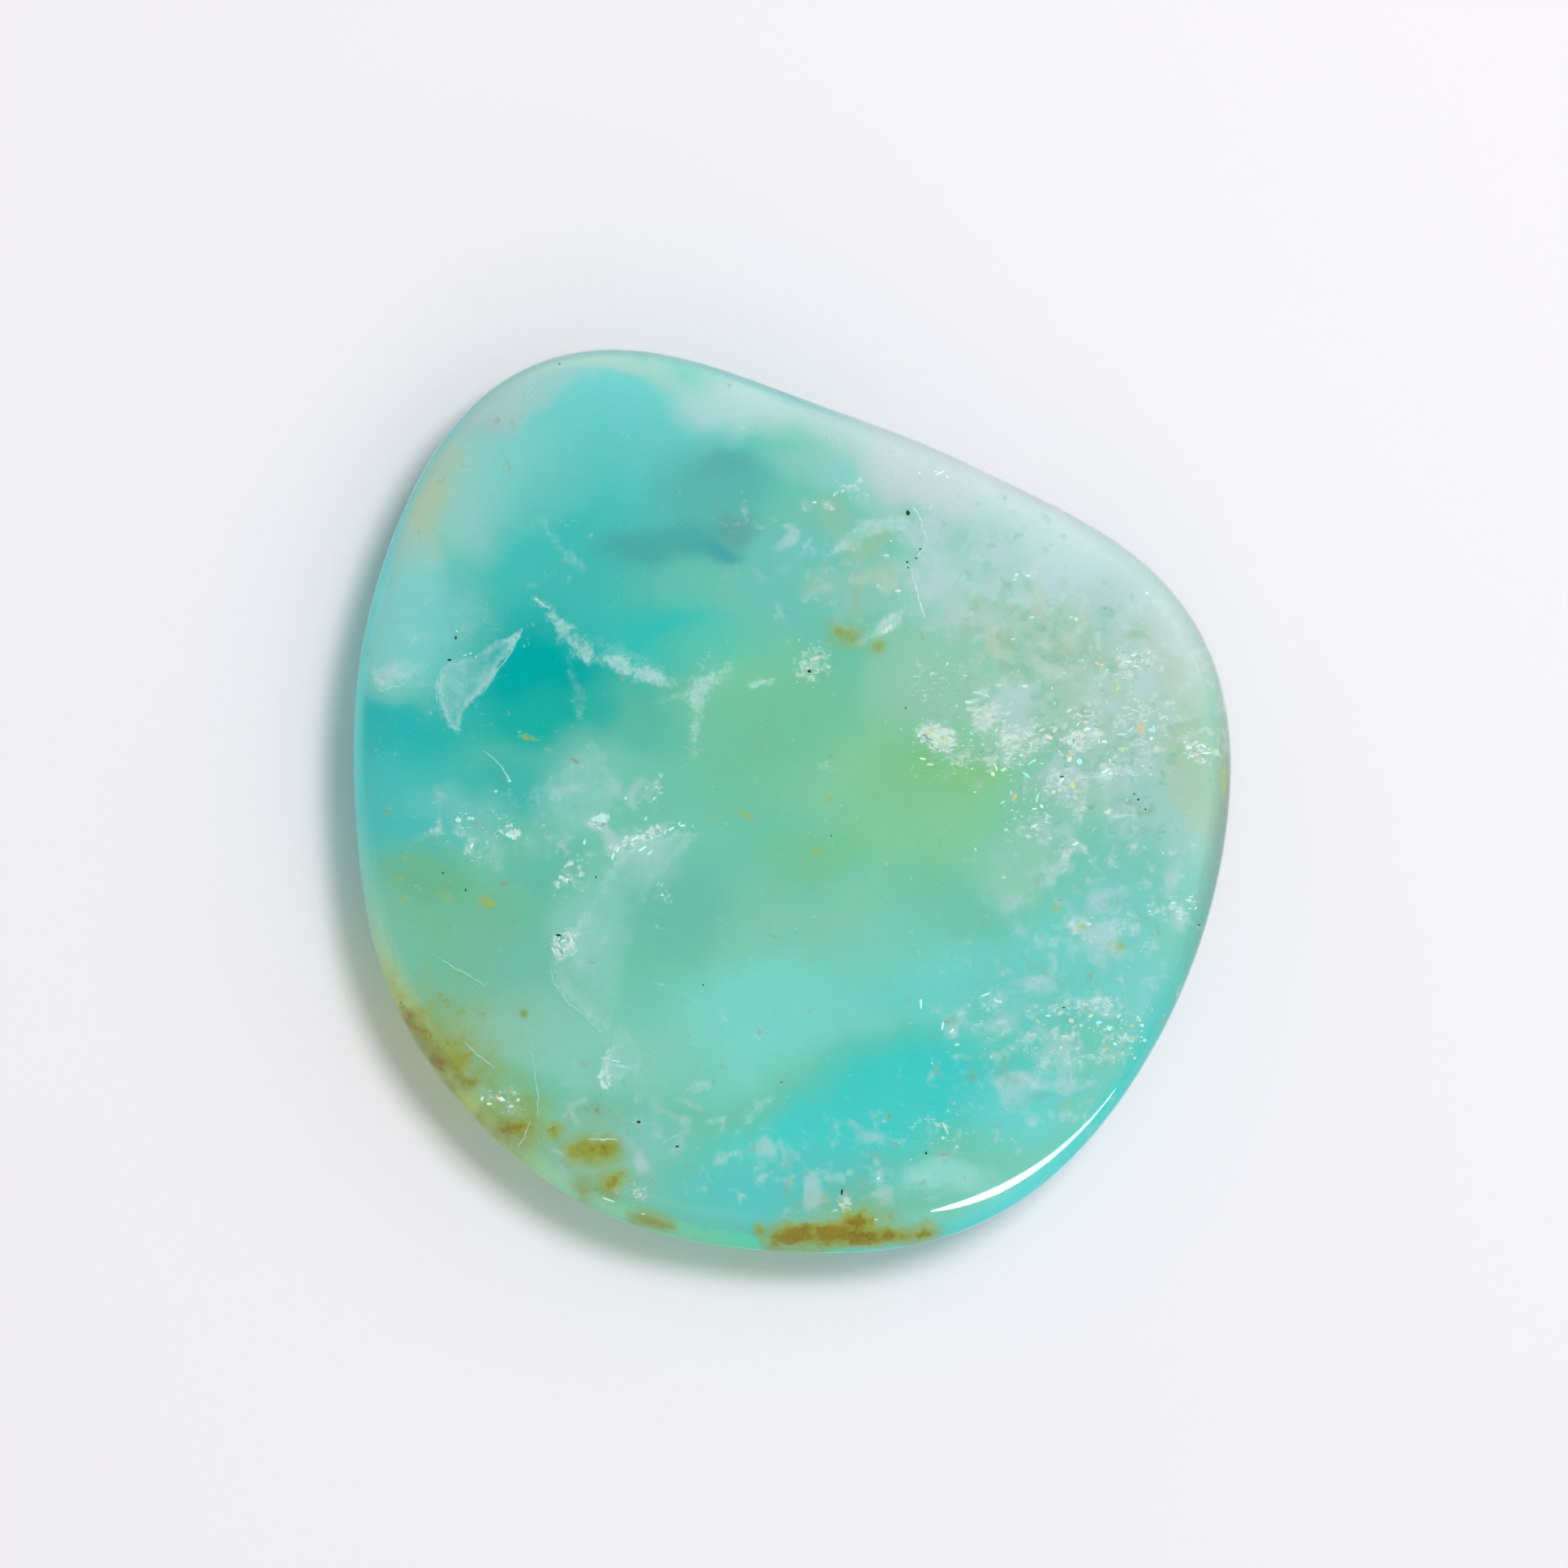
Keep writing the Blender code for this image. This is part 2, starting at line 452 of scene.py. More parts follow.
def cloud_colours(x, y):
    """The clouds laid over each other at points of the plan, as linear RGBA."""
    bent_x, bent_y = x, y
    for (far, size), seed_x, seed_y in ((SWAY, 1.5, 3.5), (FRAY, 2.5, 4.5)):
        bent_x = bent_x + far * roll(x, y, size, seed_x)
        bent_y = bent_y + far * roll(x, y, size, seed_y)
    colours = np.tile(under_skin(GROUND), (len(x), 1))
    for tint, *oval, strength in CLOUDS:
        amount = strength * smooth(1 - oval_distance(bent_x, bent_y, *oval), 0, CLOUD_SOFTNESS)
        colours += amount[:, None] * (np.array(under_skin(tint)) - colours)
    return colours


# %% [markdown]
# ## Films, stains and crystals
#
# The white films are old cracks that silica has healed. Each has crisp sides, where the crack
# ended, and parts that fade. A brush can't be used here, because the stone has no picture on
# it. So each film is a short line or a small outline in millimetres. What is stored on the
# mesh is the distance to its edge, because a distance stays smooth between two points of the
# mesh, and the shader can cut a crisp edge from it anywhere.

# %% Distances to lines and outlines
NOWHERE_NEAR = 1e9
# Stands in for the rise of a level side, which would divide by zero
NO_RISE = 1e-9
# Rounds off the blend between the strengths at the corners
CORNER_REACH = 0.05
# Depths are kept within this many softnesses of the edge
DEEPEST = 9.0
# Lets the deeper of two equally strong markings win
TIE_BREAK = 0.01


def line_distance(x, y, points, values):
    """Distance to an open line through points, and its values blended along it."""
    points = np.array(points, float)
    nearest = np.full(x.shape, NOWHERE_NEAR)
    blended = np.zeros(x.shape)
    for start, end, low, high in zip(points, points[1:], values, values[1:]):
        run = end - start
        place = np.clip(((x - start[0]) * run[0] + (y - start[1]) * run[1]) / (run @ run), 0, 1)
        away = np.hypot(x - start[0] - place * run[0], y - start[1] - place * run[1])
        blended = np.where(away < nearest, low + place * (high - low), blended)
        nearest = np.minimum(away, nearest)
    return nearest, blended


def outline_distance(x, y, points, values):
    """Distance to a closed outline, above 0 inside it, and its corners' values blended."""
    away, _ = line_distance(x, y, points + points[:1], (0,) * (len(points) + 1))
    within = np.zeros(x.shape, bool)
    for (x0, y0), (x1, y1) in zip(points, points[1:] + points[:1]):
        crosses = (y0 > y) != (y1 > y)
        rise = NO_RISE if y1 == y0 else y1 - y0
        within ^= crosses & (x < (x1 - x0) * (y - y0) / rise + x0)
    pulls = [1 / (CORNER_REACH + (x - a) ** 2 + (y - b) ** 2) for a, b in points]
    blended = sum(pull * value for pull, value in zip(pulls, values)) / sum(pulls)
    return np.where(within, away, -away), blended


def markings(x, y, streaks, patches):
    """How far inside its edge, in softnesses, the strongest marking is, and its strength."""
    best = np.full(x.shape, -NOWHERE_NEAR)
    edge = np.full(x.shape, -DEEPEST)
    fill = np.zeros(x.shape)
    found = []
    for points, widths, strength, softness in streaks:
        away, width = line_distance(x, y, points, widths)
        found.append(((width - away) / softness, np.full(x.shape, strength)))
    for points, strengths, softness in patches:
        away, strength = outline_distance(x, y, points, strengths)
        found.append((away / softness, strength))
    for depth, strength in found:
        depth = np.clip(depth, -DEEPEST, DEEPEST)
        score = strength * smooth(depth, -1, 1) + TIE_BREAK * np.minimum(depth, 1)
        stronger = score > best
        best = np.where(stronger, score, best)
        edge = np.where(stronger, depth, edge)
        fill = np.where(stronger, strength, fill)
    return edge, fill


# %% Films and wisps
STREAKS = (
    # points, half width at each, strength, softness
    ([(-10.01, 7.92), (-9.46, 7.54), (-9.08, 6.93), (-8.66, 6.32), (-8.12, 5.97), (-7.48, 5.52),
      (-6.81, 5.39), (-6.01, 5.07), (-5.34, 4.88), (-4.66, 4.59)],
     (0.06, 0.20, 0.26, 0.42, 0.34, 0.16, 0.28, 0.30, 0.26, 0.06), 0.75, 0.24),
    ([(-8.31, 6.32), (-7.38, 6.0), (-6.42, 5.68), (-5.46, 5.3)], (0.3, 0.4, 0.4, 0.3), 0.30, 0.35),
    ([(-2.36, 5.39), (-2.81, 5.07), (-3.26, 4.66), (-3.64, 4.34)], (0.06, 0.26, 0.36, 0.42), 0.66, 0.24),
    ([(-3.64, 4.4), (-3.7, 3.86), (-3.74, 3.34), (-3.8, 2.54), (-3.74, 1.94)],
     (0.44, 0.40, 0.32, 0.20, 0.14), 0.66, 0.24),
    ([(-3.77, 4.34), (-4.66, 4.08), (-5.4, 3.79)], (0.20, 0.14, 0.06), 0.45, 0.10),
    ([(-8.73, 5.62), (-8.6, 4.82), (-8.34, 4.27), (-8.28, 3.28)], (0.12, 0.14, 0.20, 0.15), 0.30, 0.16),
    ([(-9.85, 11.12), (-9.14, 10.1), (-8.73, 9.52), (-8.12, 9.04)], (0.15, 0.20, 0.25, 0.15), 0.40, 0.20),
    ([(-11.32, 11.12), (-10.42, 10.48)], (0.20, 0.20), 0.15, 0.25),
    ([(-1.53, 4.53), (-0.76, 4.78)], (0.18, 0.14), 0.70, 0.10),
    ([(1.35, 9.62), (2.28, 10.26), (3.24, 10.74), (4.23, 11.02)], (0.12, 0.30, 0.38, 0.30), 0.50, 0.18),
    ([(2.44, 6.13), (2.95, 6.42), (3.56, 6.74), (3.91, 7.02), (4.42, 7.6)],
     (0.10, 0.16, 0.24, 0.30, 0.15), 0.60, 0.14),
    ([(-7.32, -9.2), (-7.0, -10.0), (-5.78, -10.96), (-4.66, -11.02)], (0.12, 0.2, 0.1, 0.05), 0.35, 0.12),
    ([(-4.28, -11.44), (-3.7, -11.22), (-3.13, -11.06)], (0.10, 0.24, 0.10), 0.50, 0.14),
    ([(-2.1, -12.94), (-1.62, -12.24), (-0.89, -11.66)], (0.14, 0.26, 0.20), 0.50, 0.16),
    ([(-3.32, -12.56), (-2.74, -12.43)], (0.14, 0.14), 0.40, 0.12),
    ([(10.57, -1.14), (11.08, -0.56), (11.18, -0.02), (10.63, 0.4)], (0.2, 0.3, 0.25, 0.15), 0.35, 0.20),
)
# Four outlines have a name, because a healed crack follows part of each.
WING = [
    (-10.58, 6.8), (-10.81, 6.19), (-11.38, 5.33), (-12.12, 4.27), (-12.86, 3.47),
    (-13.08, 2.58), (-13.46, 3.12), (-13.88, 3.86), (-13.98, 4.53), (-13.72, 5.2),
    (-13.46, 5.52), (-12.41, 5.74), (-11.74, 6.19), (-11.06, 6.48),
]
PUFF = [
    (-16.54, 5.2), (-16.12, 5.46), (-15.32, 5.52), (-14.26, 5.46), (-13.59, 5.58),
    (-14.39, 5.2), (-14.94, 4.78), (-15.48, 4.53), (-16.12, 4.37), (-16.41, 4.59),
]
VEIL = [
    (-7.0, -2.13), (-6.52, -1.68), (-5.62, -1.36), (-4.28, -1.01), (-3.32, -1.17),
    (-4.02, -1.68), (-4.73, -2.45), (-5.46, -3.47), (-6.01, -4.56), (-6.42, -6.16),
    (-6.65, -7.76), (-7.06, -9.2), (-8.12, -8.4), (-8.79, -7.86), (-9.34, -7.06),
    (-9.53, -6.26), (-9.4, -5.58), (-8.82, -5.07), (-8.28, -4.4), (-7.64, -3.54),
]
WEDGE = [
    (9.26, -11.28), (9.48, -10.58), (10.06, -9.68), (11.27, -9.36), (11.98, -10.0),
    (11.5, -10.9), (10.38, -11.38),
]
FILMS = (
    # corners, strength at each, softness of the edge
    (WING, (0.9, 0.8, 0.7, 0.65, 0.7, 0.8, 0.7, 0.65, 0.6, 0.6, 0.55, 0.3, 0.45, 0.7), 0.09),
    ([(-13.88, 4.34), (-13.78, 3.5), (-14.58, 3.31), (-15.22, 3.63), (-14.74, 4.14)],
     (0.35, 0.3, 0.15, 0.05, 0.1), 0.25),
    (PUFF, (0.5, 0.55, 0.4, 0.3, 0.3, 0.35, 0.5, 0.6, 0.65, 0.6), 0.16),
    ([(-16.66, 5.62), (-16.25, 8.08), (-14.58, 8.5), (-12.02, 8.3), (-11.83, 6.96), (-12.34, 6.0),
      (-13.56, 5.68), (-15.22, 5.62)],
     (0.1, 0.05, 0.1, 0.28, 0.32, 0.2, 0.25, 0.2), 0.55),
    ([(-10.01, 0.66), (-9.46, 1.2), (-8.79, 1.62), (-7.93, 2.26), (-7.48, 2.0), (-6.81, 1.33),
      (-6.58, 0.69), (-7.06, -0.4), (-8.18, -1.36), (-9.46, -0.72)],
     (0.2, 0.3, 0.4, 0.45, 0.45, 0.4, 0.35, 0.25, 0.15, 0.15), 0.25),
    (VEIL, (0.6, 0.7, 0.65, 0.5, 0.3, 0.3, 0.35, 0.25, 0.12, 0.10, 0.12, 0.35, 0.45, 0.45, 0.4,
            0.45, 0.5, 0.5, 0.4, 0.4), 0.16),
    ([(-7.0, -8.78), (-6.65, -8.88), (-6.01, -9.46), (-5.72, -10.38), (-6.58, -10.8), (-7.42, -11.15),
      (-7.45, -10.38), (-7.16, -9.68)], (0.5, 0.4, 0.2, 0.2, 0.4, 0.9, 0.9, 0.55), 0.10),
    (WEDGE, (0.6, 0.6, 0.5, 0.3, 0.1, 0.05, 0.2), 0.12),
    ([(11.88, 0.94), (12.36, 1.36), (12.81, 1.49), (13.1, 1.26), (12.81, 0.98), (12.3, 0.82)],
     (0.4, 0.7, 0.8, 0.5, 0.6, 0.4), 0.08),
)
print(len(STREAKS), "streaks and", len(FILMS), "films")

# %% Iron stains
STAINS = (
    # corners, strength at each, softness of the edge
    ([(-15.35, -8.08), (-14.84, -8.18), (-14.33, -8.78), (-13.94, -9.49), (-13.3, -9.74),
      (-12.54, -9.87), (-12.54, -10.45), (-13.11, -10.77), (-13.82, -10.58), (-14.46, -10.0),
      (-15.03, -9.04)], (0.5, 0.6, 0.7, 0.6, 0.6, 0.6, 0.6, 0.55, 0.5, 0.6, 0.6), 0.25),
    ([(-15.3, -7.6), (-13.2, -7.8), (-11.9, -9.2), (-11.9, -10.5), (-13.3, -11.2),
      (-14.8, -10.0)], (0.25, 0.22, 0.2, 0.3, 0.5, 0.35), 0.8),
    ([(-12.15, -12.3), (-11.22, -12.11), (-10.36, -12.24), (-9.98, -13.14), (-10.58, -13.58),
      (-11.38, -13.26), (-11.9, -12.82)], (0.35, 0.3, 0.5, 0.3, 0.4, 0.45, 0.45), 0.4),
    ([(-9.56, -12.91), (-9.34, -12.75), (-9.14, -12.91), (-9.3, -13.14)], (0.8,) * 4, 0.12),
    ([(-8.92, -13.62), (-8.44, -13.36), (-7.54, -13.26), (-6.71, -13.33), (-6.65, -13.71),
      (-7.16, -14.06), (-8.02, -14.1), (-8.66, -13.97)],
     (0.9, 0.7, 0.5, 0.45, 0.5, 0.5, 0.7, 0.9), 0.15),
    ([(-7.55, -15.1), (-7.3, -14.8), (-6.75, -14.65), (-6.95, -15.0), (-7.15, -15.35),
      (-7.45, -15.3)], (0.45, 0.7, 0.5, 0.6, 0.6, 0.4), 0.20),
    ([(-8.38, -14.86), (-8.12, -14.86), (-7.93, -15.57), (-8.31, -15.7)], (0.35,) * 4, 0.25),
    ([(-6.26, -16.21), (-5.62, -16.18), (-4.79, -16.53), (-4.6, -16.72), (-5.62, -16.56),
      (-6.2, -16.43)], (0.6, 0.8, 0.4, 0.2, 0.6, 0.7), 0.14),
    ([(-0.76, -17.36), (-0.63, -16.85), (-0.02, -16.59), (0.94, -16.66), (1.86, -16.4),
      (2.06, -15.95), (3.08, -16.21), (3.21, -16.72), (4.3, -16.91), (5.51, -16.85),
      (5.45, -17.0), (4.36, -17.1), (3.02, -17.28), (1.26, -17.36), (-0.18, -17.42)],
     (1.2, 1.2, 0.9, 0.8, 0.6, 0.5, 1.0, 1.1, 1.1, 0.8, 0.8, 1.2, 1.2, 1.1, 1.2), 0.20),
    ([(0.3, -16.72), (0.62, -15.92), (2.06, -15.7), (3.66, -15.82), (3.98, -16.72), (2.38, -17.04)],
     (0.2, 0.2, 0.2, 0.25, 0.2, 0.3), 0.5),
    ([(-1.4, -16.82), (-1.24, -16.66), (-1.08, -16.82), (-1.24, -17.01)], (0.9,) * 4, 0.10),
    ([(-10.60, -8.25), (-10.50, -8.22), (-10.42, -8.28), (-10.44, -8.36), (-10.55, -8.38)],
     (0.45,) * 5, 0.07),
    ([(1.64, 6.9), (1.86, 6.9), (2.57, 6.51), (2.38, 6.29), (1.93, 6.42)],
     (0.3, 0.35, 0.5, 0.45, 0.4), 0.18),
    ([(3.18, 6.13), (3.53, 6.13), (3.53, 5.94), (3.18, 5.94)], (0.4,) * 4, 0.14),
)

# %% Soft zones: where the milk is curdled, where it has crystals, and small frosted knots
CURDLED = (
    # x, y, half length, half width, tilt in degrees, strength
    (11.5, 4.0, 6.5, 6.5, 0, 1.0),
    (8.0, 8.6, 6.5, 4.5, -25, 0.9),
    (12.0, -3.5, 5.4, 6.0, 0, 0.85),
    (9.5, -9.5, 5.5, 4.8, 20, 0.95),
    (0.8, 9.8, 4.8, 4.2, 0, 0.55),
    (2.0, -14.2, 8.0, 2.8, 0, 0.8),
    (-7.5, -12.8, 5.5, 3.2, 0, 0.7),
    (-12.0, -0.8, 4.0, 2.6, 0, 0.7),
    (-7.8, -1.0, 3.6, 3.6, 40, 0.7),
    (-14.5, 6.4, 3.0, 2.5, 0, 0.4),
)
CRYSTALS = (
    # These and the next three lists have the same columns.
    (0.75, 5.45, 1.1, 0.95, 40, 0.8),
    (8.0, 2.2, 3.6, 2.0, 0, 0.6),
    (12.6, 2.4, 3.6, 2.2, 10, 0.6),
    (12.8, 5.2, 2.2, 1.3, 0, 0.5),
    (9.8, -0.4, 2.4, 1.6, 30, 0.55),
    (12.0, -2.4, 3.0, 1.6, 0, 0.35),
    (5.7, 2.4, 1.1, 0.75, -20, 1.0),
    (5.5, 4.6, 1.3, 1.3, 0, 0.5),
    (7.6, 3.4, 1.3, 0.9, -30, 0.9),
    (8.8, 2.4, 1.3, 1.0, 0, 0.9),
    (11.0, 2.7, 2.0, 1.2, 20, 0.9),
    (13.6, 3.4, 1.2, 0.7, 0, 0.7),
    (13.4, 5.4, 1.3, 0.8, 0, 0.7),
    (16.0, 1.9, 0.9, 0.6, -20, 0.9),
    (12.2, 1.2, 1.2, 0.7, 10, 0.8),
    (10.4, 0.6, 1.6, 1.3, 0, 0.7),
    (9.6, -0.8, 1.0, 1.2, 0, 0.5),
    (12.6, -0.8, 1.5, 1.0, 0, 0.4),
    (11.6, -8.9, 2.8, 1.8, 10, 0.65),
    (8.6, -8.6, 3.2, 1.8, 0, 0.45),
    (12.6, -4.6, 2.6, 1.6, 0, 0.35),
    (6.2, -9.2, 0.6, 1.2, 0, 0.4),
    (5.6, -13.0, 2.0, 1.2, 0, 0.4),
    (15.0, -4.0, 1.5, 0.9, 20, 0.6),
    (1.8, 12.0, 1.2, 0.8, 30, 0.5),
    (9.0, 8.9, 0.9, 0.7, 0, 0.5),
    (10.9, 7.1, 1.0, 0.6, 0, 0.4),
    (-12.4, -0.8, 1.9, 1.2, 0, 0.5),
    (-12.6, -2.3, 1.4, 0.7, 0, 0.3),
    (-11.3, -11.7, 1.2, 0.7, -25, 0.7),
    (-6.2, -15.2, 1.0, 0.8, 0, 0.6),
    (-5.0, -1.6, 0.7, 1.2, -30, 0.2),
)
WARMTH = (
    (9.5, 6.8, 4.5, 3.0, -20, 1.0),
    (13.6, 6.0, 2.5, 3.0, 0, 0.9),
    (6.6, 6.0, 2.5, 2.0, 0, 0.8),
    (3.0, 9.0, 2.5, 3.0, 0, 0.8),
    (12.0, 1.5, 3.0, 1.6, 0, 0.6),
    (15.8, 3.4, 1.4, 3.0, 0, 0.8),
    (10.5, -4.6, 2.8, 1.6, 0, 0.5),
    (10.6, 2.6, 5.0, 2.6, 0, 0.45),
    (-13.5, 11.5, 2.0, 4.0, -20, 0.4),
    (-8.0, -14.0, 4.0, 1.8, -20, 0.5),
)
FROST = (
    (0.75, 5.40, 0.85, 0.80, 40, 0.35),
    (-6.1, -1.5, 1.5, 0.35, 25, 0.7),
    (-8.9, -5.6, 0.75, 0.55, 50, 0.8),
    (-7.3, -10.9, 0.45, 0.45, -20, 0.6),
    (-7.5, -0.7, 0.50, 0.35, 20, 0.9),
    (-8.7, -2.9, 1.1, 0.55, 55, 0.5),
    (-5.4, 0.5, 0.9, 0.5, 50, 0.45),
    (-5.1, -3.5, 0.7, 0.4, -60, 0.35),
    (5.7, 2.5, 0.95, 0.60, -20, 0.8),
    (11.0, 2.5, 0.5, 0.4, 20, 0.7),
    (-11.0, -1.2, 0.5, 0.35, -15, 0.7),
    (2.0, -15.9, 0.5, 0.5, 0, 0.6),
    (3.7, 6.8, 0.35, 0.3, 40, 0.6),
)
FLECKS = (
    (-11.8, 3.0, 0.2, 0.14, 0, 0.7),
    (-10.3, 2.5, 0.7, 0.18, -15, 0.7),
    (-15.1, -2.2, 0.35, 0.2, 30, 0.6),
    (-15.4, -3.0, 0.3, 0.2, 60, 0.6),
    (-15.2, -3.8, 0.4, 0.15, 30, 0.6),
    (-13.7, -3.7, 0.6, 0.35, 0, 0.65),
    (-12.0, -3.9, 0.5, 0.35, -20, 0.75),
    (-3.2, -0.7, 0.35, 0.2, 0, 0.6),
    (-1.7, -0.6, 0.7, 0.2, -35, 0.7),
    (1.5, 0.1, 0.3, 0.25, 0, 0.6),
    (1.0, -1.1, 0.35, 0.2, 0, 0.6),
    (1.0, -2.0, 0.35, 0.25, 0, 0.7),
    (10.4, -4.3, 0.45, 0.3, -20, 0.6),
    (11.3, -4.9, 0.40, 0.22, -20, 0.6),
    (12.7, -5.6, 0.70, 0.28, -15, 0.6),
    (10.9, -5.4, 0.30, 0.16, 0, 0.5),
    (10.7, -11.9, 0.8, 0.35, 20, 0.5),
    (5.7, 2.5, 0.6, 0.35, -10, 0.5),
    (16.9, 1.2, 0.25, 1.6, 0, 0.6),
)
ZONE_CORE = 0.3
ZONE_END = 1.4


def zone(x, y, ovals):
    """Strength of a list of soft ovals."""
    total = np.zeros(x.shape)
    for *oval, strength in ovals:
        outside = smooth(oval_distance(x, y, *oval), ZONE_CORE, ZONE_END)
        total = np.maximum(total, strength * (1 - outside))
    return total


# %% [markdown]
# ## The milky mass
#
# Under the polish the stone turns from jelly to milk. How deep that happens differs from
# place to place: the blue-green pools are clear down to more than 0.8 mm, and elsewhere the
# milk comes within 0.2 mm of the surface. The mass is therefore a second closed mesh inside
# the first, and its top sinks under the pools. It stores the markings on its points, and its
# material turns those to colour.

# %% The mass and its depth under the polish
MASS_CELLS = 264
CLEAR_POOLS = (
    # x, y, half length, half width, tilt in degrees, depth in millimetres
    (-9.8, 4.6, 5.5, 3.6, -20, 0.55),
    (-8.5, 9.0, 5.0, 4.0, -30, 0.40),
    (-6.5, 13.0, 5.0, 3.0, 0, 0.25),
    (0.5, 1.5, 6.0, 4.5, 0, 0.30),
    (-0.5, -7.0, 7.0, 4.5, 0, 0.30),
    (3.5, -11.0, 6.0, 3.0, 15, 0.35),
    (-12.0, -6.5, 3.5, 3.0, 0, 0.25),
)
POOL_END = 1.5
POOLS_START_IN = 3.5
LEAST_SINK = 0.08
SINK_WAVES = (0.07, 2.2)
# Clear skin at the sides, under the polish and at the back
MASS_SKINS = (0.03, 0.18, 0.10)


def sink_of_mass(x, y):
    """How much deeper than its skin the milk lies, over points of the plan."""
    angle, inset, _ = under_polish(x, y)
    from_shoulder = smooth(inset - shoulder_width(angle), 0, POOLS_START_IN)
    left_high = np.ones(x.shape)
    for *oval, depth in CLEAR_POOLS:
        left_high = left_high * (1 - depth * (1 - smooth(oval_distance(x, y, *oval), 0, POOL_END)))
    height, size = SINK_WAVES
    return from_shoulder * (1 - left_high + LEAST_SINK + height * roll(x, y, size, 5.5))


mass = stone_layer("milky_depths", MASS_CELLS, *MASS_SKINS, sink_of_mass)
print("milky mass:", len(mass.data.polygons), "faces")

# %% Store colours and markings on the mass
places = np.zeros(len(mass.data.vertices) * 3, np.float32)
mass.data.vertices.foreach_get("co", places)
mass_x, mass_y, mass_z = places.reshape(-1, 3).T / MM
mass_angle, mass_inset, _ = under_polish(mass_x, mass_y)

# Rim tints: partly the rim's own teal and olive, partly painted light: a glow on the shaded left and
# bottom, shade on the lit right.
RIM = (
    # bearing, tint, strength, width in from the outline
    (-180, "10FAF0", 0.95, 0.6),
    (-165, "A0FAC8", 0.9, 0.8),
    (-150, "ECF05C", 0.95, 1.0),
    (-135, "CCF478", 0.9, 1.0),
    (-120, "9CFFC4", 1.0, 0.9),
    (-108, "84ECAC", 0.9, 1.0),
    (-95, "54FCB8", 0.9, 0.8),
    (-75, "5AE8E0", 0.9, 0.7),
    (-60, "58F0F0", 0.9, 0.9),
    (-45, "38D2CA", 0.9, 0.9),
    (-30, "38B4AC", 0.9, 1.0),
    (-15, "5CA494", 0.9, 1.0),
    (0, "7C9686", 0.9, 0.9),
    (15, "8CAE9A", 0.8, 0.9),
    (30, "A2C2BA", 0.7, 0.7),
    (60, "BCCACB", 0.6, 0.9),
    (80, "92C0BE", 0.8, 0.6),
    (90, "5AB0AE", 0.95, 0.55),
    (105, "64B0AA", 0.95, 0.5),
    (120, "74BEB4", 0.9, 0.4),
    (150, "30F4F0", 0.95, 0.5),
    (180, "10FAF0", 0.95, 0.6),
)
RIM_CORE = 0.3
RIM_END = 1.3


def rim_and_painted_light(colours, angle, inset):
    """The colours with the rim's tints laid over them near the outline: partly its own colour, partly
    painted light and shade.
    """
    bearings, tints, strengths, widths = zip(*RIM)
    bearing = np.degrees(angle)
    tints = np.array([under_skin(tint) for tint in tints])
    tint = np.stack([np.interp(bearing, bearings, channel) for channel in tints.T], axis=1)
    width = np.interp(bearing, bearings, widths)
    within = 1 - smooth(inset / width, RIM_CORE, RIM_END)
    amount = np.interp(bearing, bearings, strengths) * within
    return colours + amount[:, None] * (tint - colours)


film_edge, film_fill = markings(mass_x, mass_y, STREAKS, FILMS)
stain_edge, stain_fill = markings(mass_x, mass_y, (), STAINS)
# Iron soaked in from above, so a stain thins out down the side, here further and there less.
STAIN_FADES_FROM = 3.3
STAIN_GONE_AT = 1.5
STAIN_WAVES = (0.7, 0.9)
reach = mass_z + STAIN_WAVES[0] * roll(mass_x, mass_y, STAIN_WAVES[1], 6.5)
stain_fill = stain_fill * smooth(reach, STAIN_GONE_AT, STAIN_FADES_FROM)
MARKINGS = {
    "film_edge": film_edge,
    "film_fill": film_fill,
    "stain_edge": stain_edge,
    "stain_fill": stain_fill,
    "curdled": zone(mass_x, mass_y, CURDLED),
    "crystals": zone(mass_x, mass_y, CRYSTALS),
    "frost": zone(mass_x, mass_y, FROST),
    "flecks": zone(mass_x, mass_y, FLECKS),
    "warmth": zone(mass_x, mass_y, WARMTH),
}
for name, values in MARKINGS.items():
    attribute = mass.data.attributes.new(name, "FLOAT", "POINT")
    attribute.data.foreach_set("value", values.astype(np.float32))
attribute = mass.data.attributes.new("clouds", "FLOAT_COLOR", "POINT")
colours = rim_and_painted_light(cloud_colours(mass_x, mass_y), mass_angle, mass_inset)
attribute.data.foreach_set("color", colours.astype(np.float32).ravel())

# %% [markdown]
# ## Milk opal: the material of the mass
#
# Common opal is silica gel that has set. Light goes in and comes out again millimetres away,
# which is why it glows, has no hard shadows on it and even lights its own shaded side. That
# is subsurface scattering. On top of the clouds the shader lays curds, crystals, films,
# flecks and stains, each cut out of its stored zone by a noise of the right grain. It could
# be one long chain of nodes. Here the grains come first, each under a name, and then one
# table lists the layers from the lowest to the highest, so that the order can be read.

